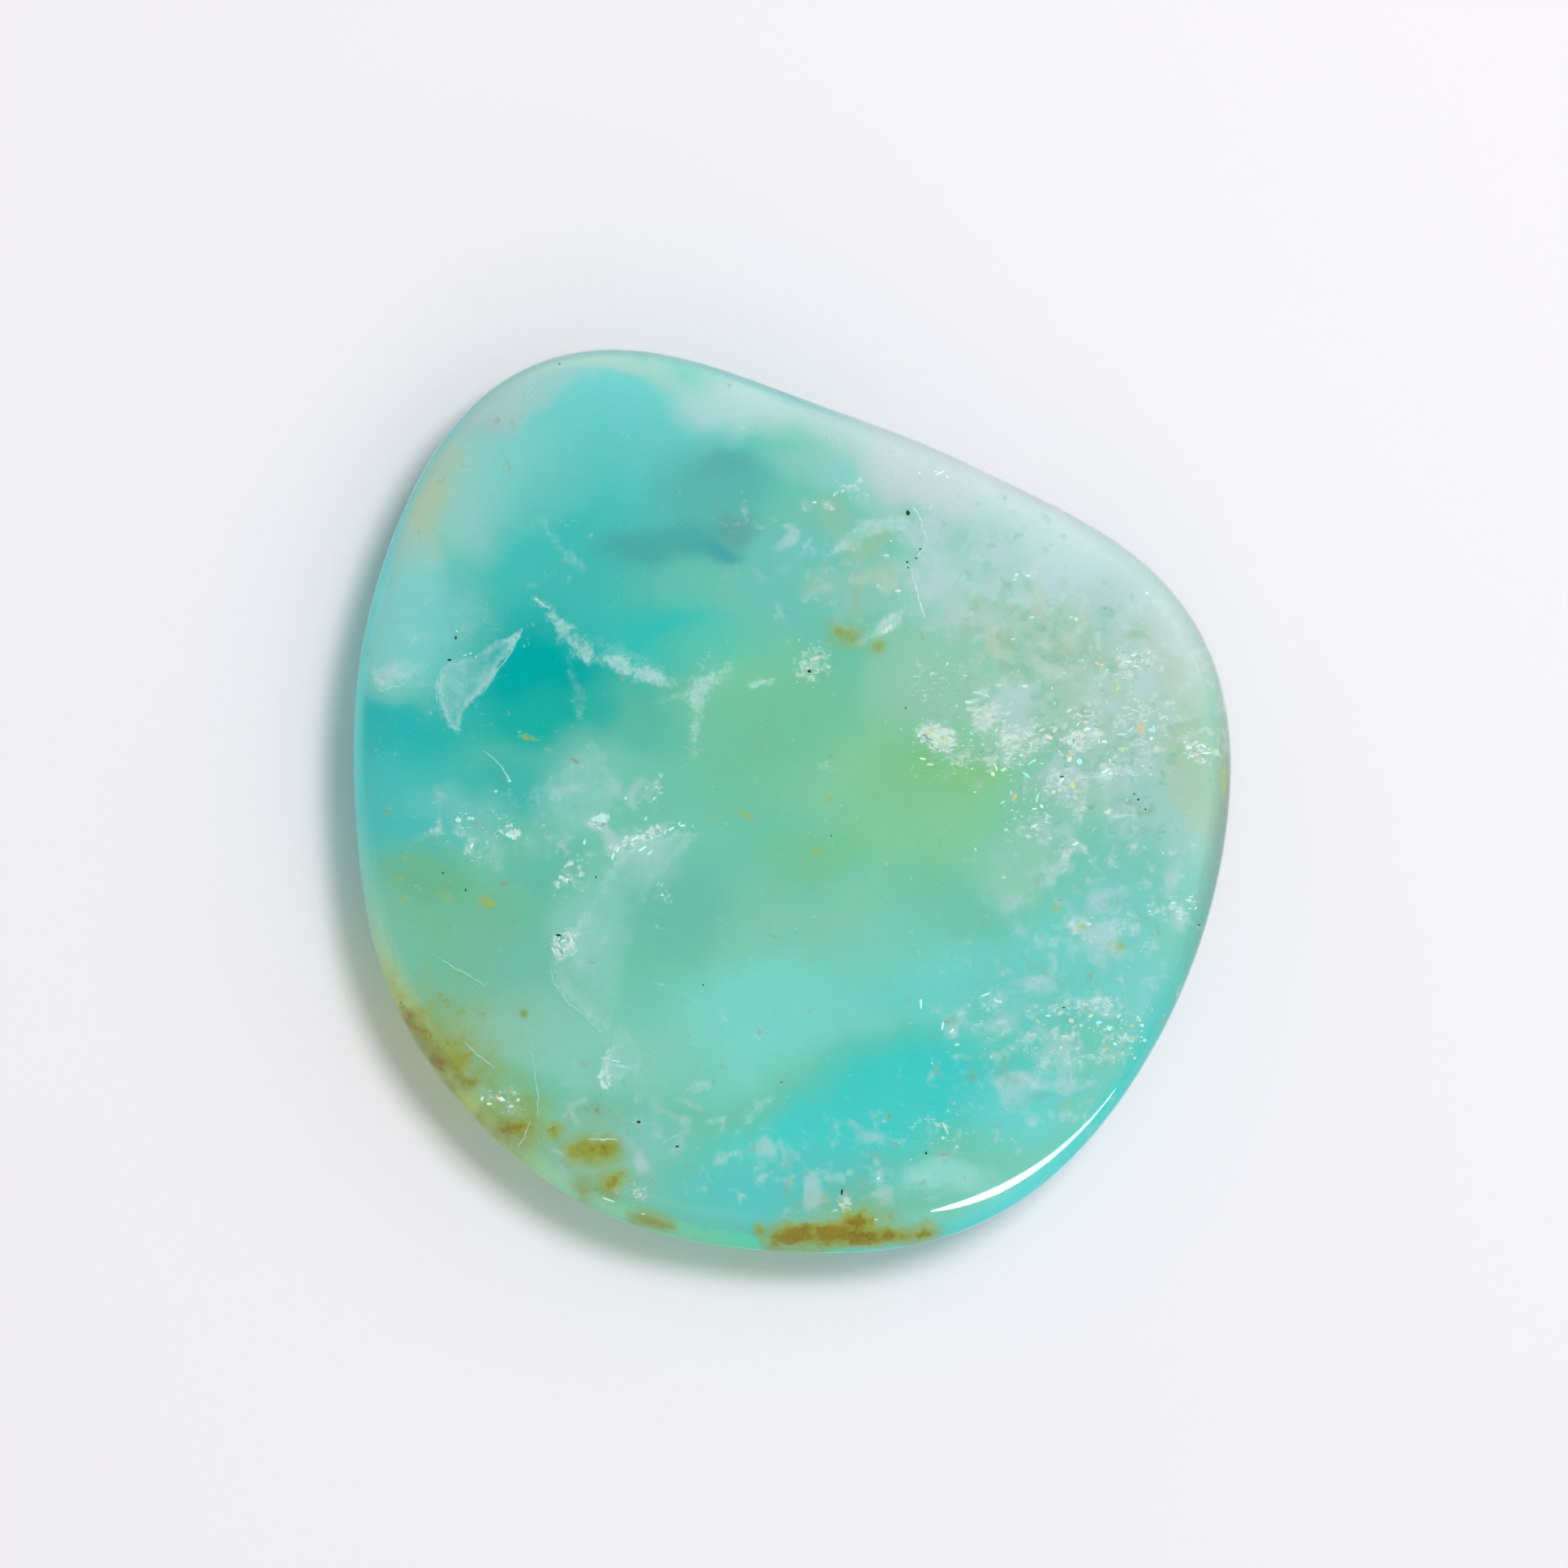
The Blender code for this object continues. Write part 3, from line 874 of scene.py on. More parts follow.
# %% Tints in the milk, and its layers
HAZE_BLUE = "BCD7DB"
HAZE_SAGE = "98BE9C"
HAZE_BEIGE = "C8D2C0"
WOOL_PALE = "C4DEDC"
WOOL_SHADE = "7CBCA8"
CURD_WHITE = "CFE4DD"
# Painted shade on the dark faces of crystals and the dark crumbs of frost
FACET_PAINTED_SHADE = "5E9F8C"
# White of curds and their threads, and painted glint on the bright faces of crystals
CRYSTAL_WHITE_AND_GLINT = "F2F8F2"
FILM_WHITE = "CFEBE9"
# Painted glint on the bright crumbs of frost
FROST_PAINTED_GLINT = "EEFAF6"
FLECK_YELLOW = "B0B94E"
MOSS = "94A85E"
OCHRE = "969C40"
RUST = "90781C"
UMBER = "6A6418"
MILK_LAYERS = (
    # tint, zone, how far the zone lifts the grain, grain, seen from, full at, most
    # Haze: broad blue, sage and beige breaths, and a finer wool in the same zones
    (HAZE_BLUE, "curdled", 0.30, "broad 0", 0.76, 0.94, 0.70),
    (HAZE_SAGE, "warmth", 0.30, "broad 1", 0.80, 0.96, 0.75),
    (HAZE_BEIGE, "warmth", 0.30, "broad 2", 0.80, 0.96, 0.50),
    (WOOL_PALE, "curdled", 0.25, "woolly 0", 0.69, 0.97, 0.58),
    (WOOL_SHADE, "curdled", 0.25, "woolly 1", 0.74, 0.94, 0.50),
    (HAZE_BEIGE, "warmth", 0.25, "woolly 2", 0.76, 0.95, 0.45),
    # Curds: crumbly clumps, and silky threads in them
    (CURD_WHITE, "crystals", 0.30, "crumbly", 0.98, 1.32, 0.70),
    (CRYSTAL_WHITE_AND_GLINT, "clump", 0.80, "silky", 1.40, 1.64, 0.50),
    # Crystals: faces of random brightness, bright ones a painted glint and dark ones painted shade
    (FACET_PAINTED_SHADE, "crystals", 0.20, "face 1", 1.50, 1.85, 0.40),
    (HAZE_BEIGE, "crystals", 0.20, "face 2", 1.50, 1.85, 0.60),
    (CRYSTAL_WHITE_AND_GLINT, "crystals", 0.24, "face 0", 1.50, 1.85, 0.90),
    (FILM_WHITE, "film", 1.0, "film", 0.0, 1.8, 0.95),
    # Frost: crumpled foil, where bright crumbs of painted glint and dark crumbs of painted shade lie side
    # by side
    (CURD_WHITE, "frost", 0.6, "woolly 1", 0.65, 1.05, 0.55),
    (FACET_PAINTED_SHADE, "frost", 1.0, "crumb 1", 1.25, 1.60, 0.60),
    (FROST_PAINTED_GLINT, "frost", 1.0, "crumb 0", 1.05, 1.45, 0.95),
    # Iron: small yellow flecks, and stains that run from moss green to rust
    (FLECK_YELLOW, "flecks", 0.9, "fleck", 1.25, 1.75, 0.85),
    (MOSS, "moss", 1.0, "moss", 0.0, 0.9, 0.65),
    (OCHRE, "ochre", 1.0, "ochre", 0.0, 0.9, 0.95),
    (RUST, "ochre", 2.0, "patchy", 3.1, 4.3, 0.90),
    (UMBER, "ochre", 0.10, "vein", 0.025, 0.075, 0.50),
)
# Share of a lamp's light that gets through the milk, in the milk's own colour
SEEPS_THROUGH = 0.62
print(len(MILK_LAYERS), "layers in the milk")

# %% Grains of noise, and what is mixed from them
GRAINS = {
    # size in millimetres, detail, swirl
    "broad": (1.6, 1.5, 0.4),
    "woolly": (0.75, 2.0, 0.2),
    "fine": (0.18, 3.0, 0.2),
}
SILK_SIZE = 0.20
SILK_BEARING = math.radians(-25)
SILK_STRETCH = (0.5, 1.3, 0.2)
BENT_BY = (0.6, 0.6, 0.0)
FACE_SIZE = 0.13
CRUMB_SIZE = 0.15
FACE_FADES = -1.3
CLUMP_LIFTS = 0.9
SUMS = (
    # name, what is added, how much of it, to what
    ("crumbly", "fine 0", 0.6, "woolly 0"),
    ("clump", "crystals", 0.45, "crumbly"),
    ("loose edge", "fine 0", 2.5, "film_edge"),
    ("torn edge", "woolly 2", 5.0, "loose edge"),
    ("fleck", "woolly 1", 0.8, "fine 1"),
    ("soaked edge", "woolly 2", 4.0, "stain_edge"),
    ("patchy", "woolly 1", 4.0, "fine 1"),
)
RAMPS = (
    # name, way of climbing, source, from, to, lowest, highest
    ("sheet", "SMOOTHSTEP", "torn edge", 2.6, 5.8, 0.0, 1.0),
    ("hem", "SMOOTHSTEP", "torn edge", 4.2, 7.5, 1.05, 0.60),
    ("silk", "LINEAR", "crumbly", 0.60, 1.0, 0.55, 1.25),
    ("moss pool", "SMOOTHSTEP", "soaked edge", -1.8, 2.8, 0.0, 1.0),
    ("ochre pool", "SMOOTHSTEP", "soaked edge", 0.4, 4.2, 0.0, 1.0),
    ("soft", "LINEAR", "woolly 1", 0.35, 0.65, 0.75, 1.15),
)
PRODUCTS = {
    "film": ("film_fill", "sheet", "hem", "silk"),
    "moss": ("stain_fill", "moss pool", "soft"),
    "ochre": ("stain_fill", "ochre pool", "soft"),
}

# %% The grains as shader nodes
def stored_and_grainy(tree):
    """Sockets by name: the place in millimetres, the stored marks and the plain noises."""
    here = add_node(tree, "ShaderNodeTexCoord").outputs["Object"]
    at = {"place": add_node(tree, "ShaderNodeVectorMath", {"operation": "SCALE"},
                            {"Scale": 1 / MM}, {0: here}).outputs[0]}
    for name in MARKINGS:
        at[name] = add_node(tree, "ShaderNodeAttribute", {"attribute_name": name}).outputs["Fac"]
    for grain, (size, detail, swirl) in GRAINS.items():
        at[grain] = add_node(tree, "ShaderNodeTexNoise", {},
                             {"Scale": 1 / size, "Detail": detail, "Roughness": 0.6,
                              "Distortion": swirl}, {"Vector": at["place"]}).outputs["Color"]
        # The three values of one noise don't follow each other.
        parts = add_node(tree, "ShaderNodeSeparateColor", {}, {}, {0: at[grain]}).outputs
        at |= {f"{grain} {index}": part for index, part in enumerate(parts)}
    return at


def mix_grains(tree, at):
    """Add the sums, the ramps and the products to the named sockets."""
    for name, added, weight, base in SUMS:
        at[name] = add_node(tree, "ShaderNodeMath", {"operation": "MULTIPLY_ADD"}, {1: weight},
                            {0: at[added], 2: at[base]}).outputs[0]
    for name, way, source, low, high, lowest, highest in RAMPS:
        at[name] = add_node(tree, "ShaderNodeMapRange", {"interpolation_type": way},
                            {"From Min": low, "From Max": high, "To Min": lowest,
                             "To Max": highest}, {"Value": at[source]}).outputs[0]
    for name, (first, *others) in PRODUCTS.items():
        at[name] = at[first]
        for other in others:
            at[name] = add_node(tree, "ShaderNodeMath", {"operation": "MULTIPLY"}, {},
                                {0: at[name], 1: at[other]}).outputs[0]
    # A vein runs where a noise crosses its middle value.
    at["vein"] = at["woolly 0"]
    for operation, value in (("SUBTRACT", 0.5), ("ABSOLUTE", 0.0), ("MULTIPLY", -1.0)):
        at["vein"] = add_node(tree, "ShaderNodeMath", {"operation": operation}, {1: value},
                              {0: at["vein"]}).outputs[0]


def crystallise(tree, at):
    """Add threads, and the faces and crumbs that a bent Voronoi cuts, to the named sockets."""
    bent = add_node(tree, "ShaderNodeVectorMath", {"operation": "MULTIPLY_ADD"},
                    {1: BENT_BY}, {0: at["woolly"], 2: at["place"]}).outputs[0]
    drawn_out = add_node(tree, "ShaderNodeMapping", {},
                         {"Rotation": (0, 0, SILK_BEARING), "Scale": SILK_STRETCH},
                         {"Vector": bent}).outputs[0]
    at["silky"] = add_node(tree, "ShaderNodeTexNoise", {}, {"Scale": 1 / SILK_SIZE, "Detail": 2.0},
                           {"Vector": drawn_out}).outputs[0]
    for kind, size, plan in (("crumb", CRUMB_SIZE, bent), ("face", FACE_SIZE, drawn_out)):
        cells = add_node(tree, "ShaderNodeTexVoronoi", {"feature": "F1"}, {"Scale": 1 / size},
                         {"Vector": plan}).outputs
        draws = add_node(tree, "ShaderNodeSeparateColor", {}, {}, {0: cells["Color"]}).outputs
        at |= {f"{kind} {index}": draw for index, draw in enumerate(draws)}
    # A face, the last kind above, fades towards its sides and is strong where curds are thick.
    for name in ("face 0", "face 1", "face 2"):
        for source, weight in ((cells["Distance"], FACE_FADES), (at["clump"], CLUMP_LIFTS)):
            at[name] = add_node(tree, "ShaderNodeMath", {"operation": "MULTIPLY_ADD"},
                                {1: weight}, {0: source, 2: at[name]}).outputs[0]


# %% Milk opal, scattering under the polish
def lay(tree, under, tint, zone_mark, lift, grain, low, high, most):
    """Lay a tint over a colour, where zone x lift + grain climbs from low to high."""
    amount = add_node(tree, "ShaderNodeMath", {"operation": "MULTIPLY_ADD"}, {1: lift},
                      {0: zone_mark, 2: grain})
    strength = add_node(tree, "ShaderNodeMapRange", {"interpolation_type": "SMOOTHSTEP"},
                        {"From Min": low, "From Max": high, "To Max": most},
                        {"Value": amount.outputs[0]})
    mixed = add_node(tree, "ShaderNodeMix", {"data_type": "RGBA"}, {7: under_skin(tint)},
                     {0: strength.outputs[0], 6: under})
    return mixed.outputs[2]


def milk_opal():
    material, tree, shader = new_material("milk opal, scattering")
    at = stored_and_grainy(tree)
    mix_grains(tree, at)
    crystallise(tree, at)
    colour = add_node(tree, "ShaderNodeAttribute", {"attribute_name": "clouds"}).outputs["Color"]
    for tint, mark, lift, grain, low, high, most in MILK_LAYERS:
        colour = lay(tree, colour, tint, at[mark], lift, at[grain], low, high, most)
    tree.links.new(colour, shader.inputs["Base Color"])
    seeping = add_node(tree, "ShaderNodeVectorMath", {"operation": "SCALE"},
                       {"Scale": SEEPS_THROUGH}, {0: colour})
    let_lamps_in(tree, shader, seeping.outputs[0])
    shader.inputs["Subsurface Weight"].default_value = 1.0
    shader.inputs["Subsurface Radius"].default_value = (1.0, 1.0, 1.0)
    shader.inputs["Subsurface Scale"].default_value = 9.0 * MM
    shader.inputs["Roughness"].default_value = 0.55
    shader.inputs["IOR"].default_value = 1.2
    shader.inputs["Specular IOR Level"].default_value = 0.0
    return material


mass.data.materials.append(milk_opal())
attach(mass, "root")

# %% [markdown]
# ## Jelly opal: the clear polished body
#
# The clear part is like tinted glass with a slightly lower index, 1.45. Its colour comes
# from depth, so it is an absorption inside the body and not a colour on the surface: where
# the milk lies deeper, the blue-green is deeper too. Lamps shine through it onto what lies
# inside, which a Transparent shader for shadow rays stands for.

# %% Clear body with its polish
JELLY_TINT = "00E8DC"
BODY_CELLS = 150
# Just enough skin to stay inside the CAD's box: none under the polish
BODY_SKINS = (0.004, 0.0, 0.004)


def jelly_opal():
    material, tree, shader = new_material("jelly opal, polished")
    shader.inputs["Base Color"].default_value = linear("FFFFFF")
    shader.inputs["Transmission Weight"].default_value = 1.0
    shader.inputs["Roughness"].default_value = 0.0
    shader.inputs["IOR"].default_value = 1.45
    let_lamps_in(tree, shader)
    depth_tint = add_node(tree, "ShaderNodeVolumeAbsorption", {}, {"Color": linear(JELLY_TINT)})
    depth_tint.inputs["Density"].default_value = 110.0
    tree.links.new(depth_tint.outputs[0], tree.nodes["Material Output"].inputs["Volume"])
    return material


body = stone_layer("opal_body", BODY_CELLS, *BODY_SKINS)
body.data.materials.append(jelly_opal())
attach(body, "root")
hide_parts("opal_cabochon")
print("clear body:", len(body.data.polygons), "faces")

# %% [markdown]
# ## Mottled materials for the small things
#
# Flakes, healed cracks and dirt are opal, silica and dried paste. None of them is one even
# colour: under a lens each is mottled at about a tenth of a millimetre, where it is thicker or
# thinner. One function builds all three, from two tints, a grain size and a roughness.

# %% A mottled, slightly uneven surface
MOTTLE_SIZE = 0.10
MOTTLE_FROM = 0.38
MOTTLE_TO = 0.62
ROUGHNESS_SWING = 0.1


def mottled(name, tint, second_tint, size, roughness):
    """A material that runs between two tints, and is rougher where the second one shows."""
    material, tree, shader = new_material(name)
    here = add_node(tree, "ShaderNodeTexCoord").outputs["Object"]
    grain = add_node(tree, "ShaderNodeTexNoise", {}, {"Scale": 1 / (size * MM), "Detail": 2.0},
                     {"Vector": here}).outputs[0]
    share = add_node(tree, "ShaderNodeMapRange", {"interpolation_type": "SMOOTHSTEP"},
                     {"From Min": MOTTLE_FROM, "From Max": MOTTLE_TO},
                     {"Value": grain}).outputs[0]
    colour = add_node(tree, "ShaderNodeMix", {"data_type": "RGBA"}, {6: tint, 7: second_tint},
                      {0: share}).outputs[2]
    uneven = add_node(tree, "ShaderNodeMapRange", {},
                      {"To Min": roughness - ROUGHNESS_SWING,
                       "To Max": roughness + ROUGHNESS_SWING}, {"Value": grain})
    tree.links.new(colour, shader.inputs["Base Color"])
    tree.links.new(uneven.outputs[0], shader.inputs["Roughness"])
    return material


# %% [markdown]
# ## Bright flakes
#
# On the right side the stone is full of tiny flat cracks. Each catches the light like a flake of mica, and
# here that glint is painted into its tint: most white, some straw yellow, cyan or pink. They are real
# little polygons, each with its own tilt, floating between the milk and the polish, so they brighten and
# darken as the view changes. The bright ones are placed one by one, and a seeded random draw fills the
# clusters around them.

# %% Tints of the flakes
# These tints paint the glint each crack throws back: white and cream the brightest, pale and aqua duller
# ones, the rest iridescent flashes.
FLAKE_GLINT_TINTS = {
    "white": "F0F8F4",
    "pale": "C9E0D8",
    "cream": "E4E3C8",
    "pink": "E3D0C8",
    "straw": "D9D890",
    "leaf": "BFE0A0",
    "cyan": "9FE9EE",
    "amber": "E9B878",
    "aqua": "C3E9E6",
}
THIN_FLAKE = "A0D8CC"

# %% The flakes that stand out
GLINTS = {
    # x, y, length, width, tilt in degrees
    "white": ((5.48, 5.01, 0.22, 0.13, 40), (6.09, 5.39, 0.16, 0.1, 60), (6.47, 3.76, 0.13, 0.13, 0),
        (8.97, 1.81, 0.16, 0.16, 0), (10.89, 2.35, 0.32, 0.26, 10), (11.59, 2.86, 0.45, 0.16, 25),
        (12.26, 2.35, 0.26, 0.13, 0), (13.1, 3.7, 0.38, 0.13, 10), (13.45, 3.57, 0.45, 0.19, -25),
        (13.26, 3.44, 0.32, 0.1, 10), (12.94, 2.64, 0.45, 0.1, 0), (13.29, 2.83, 0.35, 0.13, 45),
        (14.18, 2.93, 0.13, 0.13, 0), (14.09, 2.48, 0.16, 0.13, 0), (14.6, 3.34, 0.38, 0.13, 5),
        (14.47, 3.25, 0.19, 0.1, 30), (15.56, 2.13, 0.29, 0.16, 0), (15.82, 2.29, 0.32, 0.13, 40),
        (16.01, 2.03, 0.38, 0.19, -20), (16.26, 1.9, 0.38, 0.13, 0), (15.69, 1.78, 0.19, 0.13, 60),
        (16.14, 2.19, 0.26, 0.1, -45), (13.03, 5.74, 0.29, 0.1, 10), (13.38, 5.74, 0.26, 0.1, -10),
        (14.22, 5.68, 0.26, 0.1, -50), (13.19, 5.49, 0.32, 0.1, 0), (13.51, 5.3, 0.38, 0.1, -20),
        (13.67, 5.2, 0.19, 0.1, 0), (10.57, 0.85, 0.32, 0.19, 50), (10.73, 1.01, 0.19, 0.1, 0),
        (10.82, 0.21, 0.19, 0.13, -20), (10.47, 0.69, 0.22, 0.1, 0), (12.49, 1.1, 0.19, 0.16, 30),
        (12.3, 1.2, 0.45, 0.13, 35), (12.23, 1.04, 0.51, 0.13, 10), (9.61, 0.14, 0.45, 0.13, 80),
        (9.51, -0.27, 0.26, 0.13, 10), (9.99, -0.62, 0.32, 0.13, 60), (9.48, -0.98, 0.38, 0.13, 35),
        (9.26, -1.36, 0.29, 0.16, -20), (11.11, -1.65, 0.32, 0.13, 30), (14.06, 1.07, 0.16, 0.13, 0),
        (5, 2.61, 0.26, 0.13, 60), (4.9, 2.8, 0.19, 0.1, 80), (5.19, 2.93, 0.32, 0.1, 20),
        (5.1, 2.35, 0.26, 0.13, 0), (6.28, 2.19, 0.29, 0.1, 20), (5.93, 2.64, 0.22, 0.13, 30),
        (6.28, 2.03, 0.26, 0.1, 10), (5.8, 12.88, 0.45, 0.1, 25), (6.09, 12.75, 0.19, 0.1, -30),
        (5.61, 12.94, 0.16, 0.06, 0), (5, 12.88, 0.1, 0.1, 0), (0.9, 11.73, 0.16, 0.1, 0),
        (3.88, 10.22, 0.13, 0.13, 0), (8.81, 8.88, 0.19, 0.13, 60), (9.1, 8.98, 0.22, 0.13, 30),
        (9.26, 8.85, 0.19, 0.1, 0), (13.93, 8.18, 0.13, 0.1, 0), (-13.14, 6.67, 0.1, 0.1, 0),
        (-12.6, 5.81, 0.1, 0.1, 0), (-12.38, 5.68, 0.13, 0.1, 90), (-12.82, 5.74, 0.16, 0.06, 20),
        (-10.01, 7.92, 0.1, 0.1, 0), (-12.54, -1.74, 0.29, 0.13, 70), (-10.81, -1.23, 0.26, 0.13, 70),
        (-7, -2.13, 0.32, 0.13, 70), (-6.81, -1.87, 0.32, 0.1, 60), (-6.52, -1.68, 0.26, 0.1, 40),
        (-6.17, -1.46, 0.38, 0.1, 30), (-5.78, -1.33, 0.32, 0.1, 0), (-5.53, -1.39, 0.26, 0.1, -40),
        (-5.24, -1.36, 0.32, 0.1, 20), (-4.98, -1.2, 0.22, 0.1, 60), (-4.73, -1.07, 0.29, 0.1, 30),
        (-4.28, -0.94, 0.26, 0.1, 0), (-4.41, -0.85, 0.19, 0.1, 60), (-5.08, -3.66, 0.16, 0.13, 0),
        (-9.3, -5.36, 0.32, 0.1, 70), (-9.14, -5.62, 0.32, 0.1, -60), (-8.95, -5.46, 0.26, 0.1, 30),
        (-8.76, -5.2, 0.26, 0.1, 0), (-8.63, -5.46, 0.29, 0.1, 85), (-8.89, -5.78, 0.32, 0.1, 20),
        (-9.21, -5.9, 0.26, 0.1, -20), (-8.57, -5.74, 0.26, 0.1, 50), (-7.29, -10.06, 0.51, 0.1, -5),
        (-6.9, -10.16, 0.38, 0.06, -10), (-7.38, -10.7, 0.16, 0.13, 0),
        (-11.38, -11.66, 0.38, 0.19, -35), (-10.74, -11.7, 0.19, 0.13, 50), (-11, -11.95, 0.26, 0.1, 0),
        (-10.74, -13.58, 0.16, 0.13, 0), (-7.19, -15.6, 0.58, 0.13, -20), (-5.82, -16.18, 0.26, 0.1, 0),
        (6.09, -12.94, 0.26, 0.13, -70), (3.4, -14.77, 0.19, 0.1, 0), (3.3, -16.4, 0.16, 0.1, 0),
        (7.56, -7.57, 0.45, 0.1, 20), (8.07, -7.82, 0.38, 0.1, -20), (5.9, -8.78, 0.38, 0.1, 80),
        (6.28, -8.98, 0.26, 0.13, 60), (6.47, -9.52, 0.26, 0.13, 0), (10.06, -8.4, 0.26, 0.13, 0),
        (11.34, -8.78, 0.19, 0.13, 0), (12.46, -8.88, 0.26, 0.19, 0), (12.68, -9.52, 0.26, 0.13, -30),
        (13.06, -9.2, 0.26, 0.16, 60), (13.58, -8.46, 0.16, 0.16, 0), (13.74, -8.78, 0.13, 0.13, 0),
        (13.83, -9.36, 0.13, 0.13, 0), (13.64, -9.81, 0.16, 0.13, 0), (13.45, -10.06, 0.13, 0.13, 0),
        (15.82, -4.18, 0.19, 0.13, 40),),
    "cream": ((6.79, 4.94, 0.19, 0.13, 0), (7.98, 1.36, 0.51, 0.1, -70), (8.3, 1.26, 0.38, 0.1, 30),
        (7.88, 1.1, 0.19, 0.19, 0), (9.8, 2.8, 0.32, 0.16, 20), (11.21, 2.64, 0.38, 0.16, 20),
        (11.98, 2.64, 0.38, 0.16, -20), (10.86, 3.57, 0.32, 0.13, 30), (11.27, 3.38, 0.38, 0.16, -30),
        (8.1, 4.56, 0.32, 0.13, 0), (9.13, 4.53, 0.26, 0.13, 0), (10.89, 1.65, 0.26, 0.22, 60),
        (10.25, 0.37, 0.19, 0.16, 30), (12.42, -0.4, 0.26, 0.16, 60), (8.39, -1.1, 0.22, 0.13, 0),
        (5.67, 2.58, 0.38, 0.19, -10), (6.18, 2.48, 0.26, 0.13, -40), (5.58, 2.32, 0.32, 0.1, 0),
        (5.48, 2.1, 0.29, 0.1, -10), (5.42, 1.46, 0.38, 0.1, -5), (5.13, 1.68, 0.32, 0.1, -10),
        (1.67, 12.05, 0.29, 0.13, 40), (1.99, 12.18, 0.22, 0.13, 30), (4.17, 8.27, 0.29, 0.13, 10),
        (3.72, 9.65, 0.26, 0.1, 0), (8.74, 8.72, 0.16, 0.1, 0), (10.95, 7.22, 0.19, 0.13, 0),
        (11.14, 7.15, 0.19, 0.13, -40), (9.42, 7.22, 0.22, 0.1, 0), (8.68, 6.38, 0.26, 0.1, 15),
        (-8.82, -3.06, 0.19, 0.16, 30), (-11.86, -11.86, 0.26, 0.13, 0), (5.99, -12.72, 0.32, 0.16, -60),
        (5.93, -13.2, 0.13, 0.13, 0), (10.54, -8.3, 0.26, 0.16, 30), (11.72, -8.4, 0.26, 0.13, 40),
        (12.81, -8.4, 0.19, 0.19, 0), (10.7, -9.2, 0.32, 0.13, 0), (8.3, -2.96, 0.19, 0.13, 0),
        (12.3, -0.4, 0.19, 0.13, 30),),
    "pink": ((10.06, 2.54, 0.38, 0.19, -20), (10.31, 2.83, 0.32, 0.16, 50), (10.57, 2.42, 0.26, 0.19, 0),
        (11.53, 3.12, 0.26, 0.13, 0), (15.85, 1.84, 0.26, 0.16, 20), (13.99, 5.87, 0.26, 0.19, 30),
        (13.06, 4.85, 0.32, 0.1, 0), (10.76, 1.26, 0.19, 0.16, 0), (10.5, 0.46, 0.26, 0.19, 0),
        (10.95, -8.59, 0.26, 0.19, 0),),
    "straw": ((9.7, 4.72, 0.19, 0.1, 60), (10.98, 0.66, 0.45, 0.26, -55), (5.48, 2.8, 0.26, 0.16, 0),
        (5.96, 2.35, 0.29, 0.19, 20), (5.32, 2.64, 0.19, 0.19, 0),),
    "leaf": ((8.01, 2.8, 0.22, 0.1, 60), (13.64, 3.73, 0.26, 0.13, 40), (12.97, 2.06, 0.45, 0.16, 5),
        (12.78, 4.46, 0.26, 0.16, 60), (8.87, 5.14, 0.16, 0.1, 0), (8.58, 5.07, 0.16, 0.1, 0),),
    "cyan": ((8.26, -0.02, 0.26, 0.1, 30), (9.19, 1.04, 0.45, 0.13, -35), (9.38, 1.55, 0.38, 0.1, 35),
        (14.09, 2.83, 0.35, 0.26, 0), (15.4, 1.9, 0.26, 0.1, 0), (11.27, 1.58, 0.26, 0.26, 0),
        (10.86, 0.75, 0.22, 0.16, 0), (12.04, -8.66, 0.26, 0.16, 0),),
    "amber": ((8.71, 0.18, 0.38, 0.16, 50), (13.7, 2.86, 0.38, 0.26, 85), (12.17, 5.33, 0.26, 0.19, 20),
        (11.98, 5.42, 0.26, 0.1, -30), (10.82, 1.78, 0.16, 0.13, 0), (-11.54, -11.6, 0.26, 0.16, -60),
        (12.3, -9.68, 0.32, 0.13, 0), (13.32, -8.78, 0.19, 0.16, 0),),
    "aqua": ((6.95, 3.89, 0.45, 0.16, -5), (7.27, 4.27, 0.38, 0.13, -10), (7.66, 4.14, 0.26, 0.1, -30),
        (8.49, 3.47, 0.26, 0.1, 40), (-12.6, -0.66, 0.32, 0.22, 0), (-13.08, -0.72, 0.26, 0.22, 0),
        (-11.06, -1.33, 0.42, 0.22, -15), (-11.61, 0.4, 0.16, 0.13, 0), (-11.06, 0.82, 0.16, 0.13, 0),
        (-7.54, -0.66, 0.64, 0.35, 15), (-5.85, -1.84, 0.45, 0.1, 30), (-5.56, -2, 0.38, 0.1, 40),
        (-5.72, -0.66, 0.19, 0.13, 80), (-6.52, 0.14, 0.13, 0.13, 0), (-8.12, -1.58, 0.26, 0.13, 80),
        (-6.74, -10.38, 0.51, 0.06, -15), (-12.15, -11.66, 0.26, 0.13, 60), (5.06, -7.92, 0.45, 0.1, 90),
        (11.18, -9.68, 0.32, 0.13, 20), (14.95, -3.98, 0.26, 0.13, 20), (15.56, -3.86, 0.26, 0.16, 0),
        (15.18, -4.3, 0.26, 0.1, 0),),
}
print("flakes placed one by one:", sum(len(rows) for rows in GLINTS.values()))

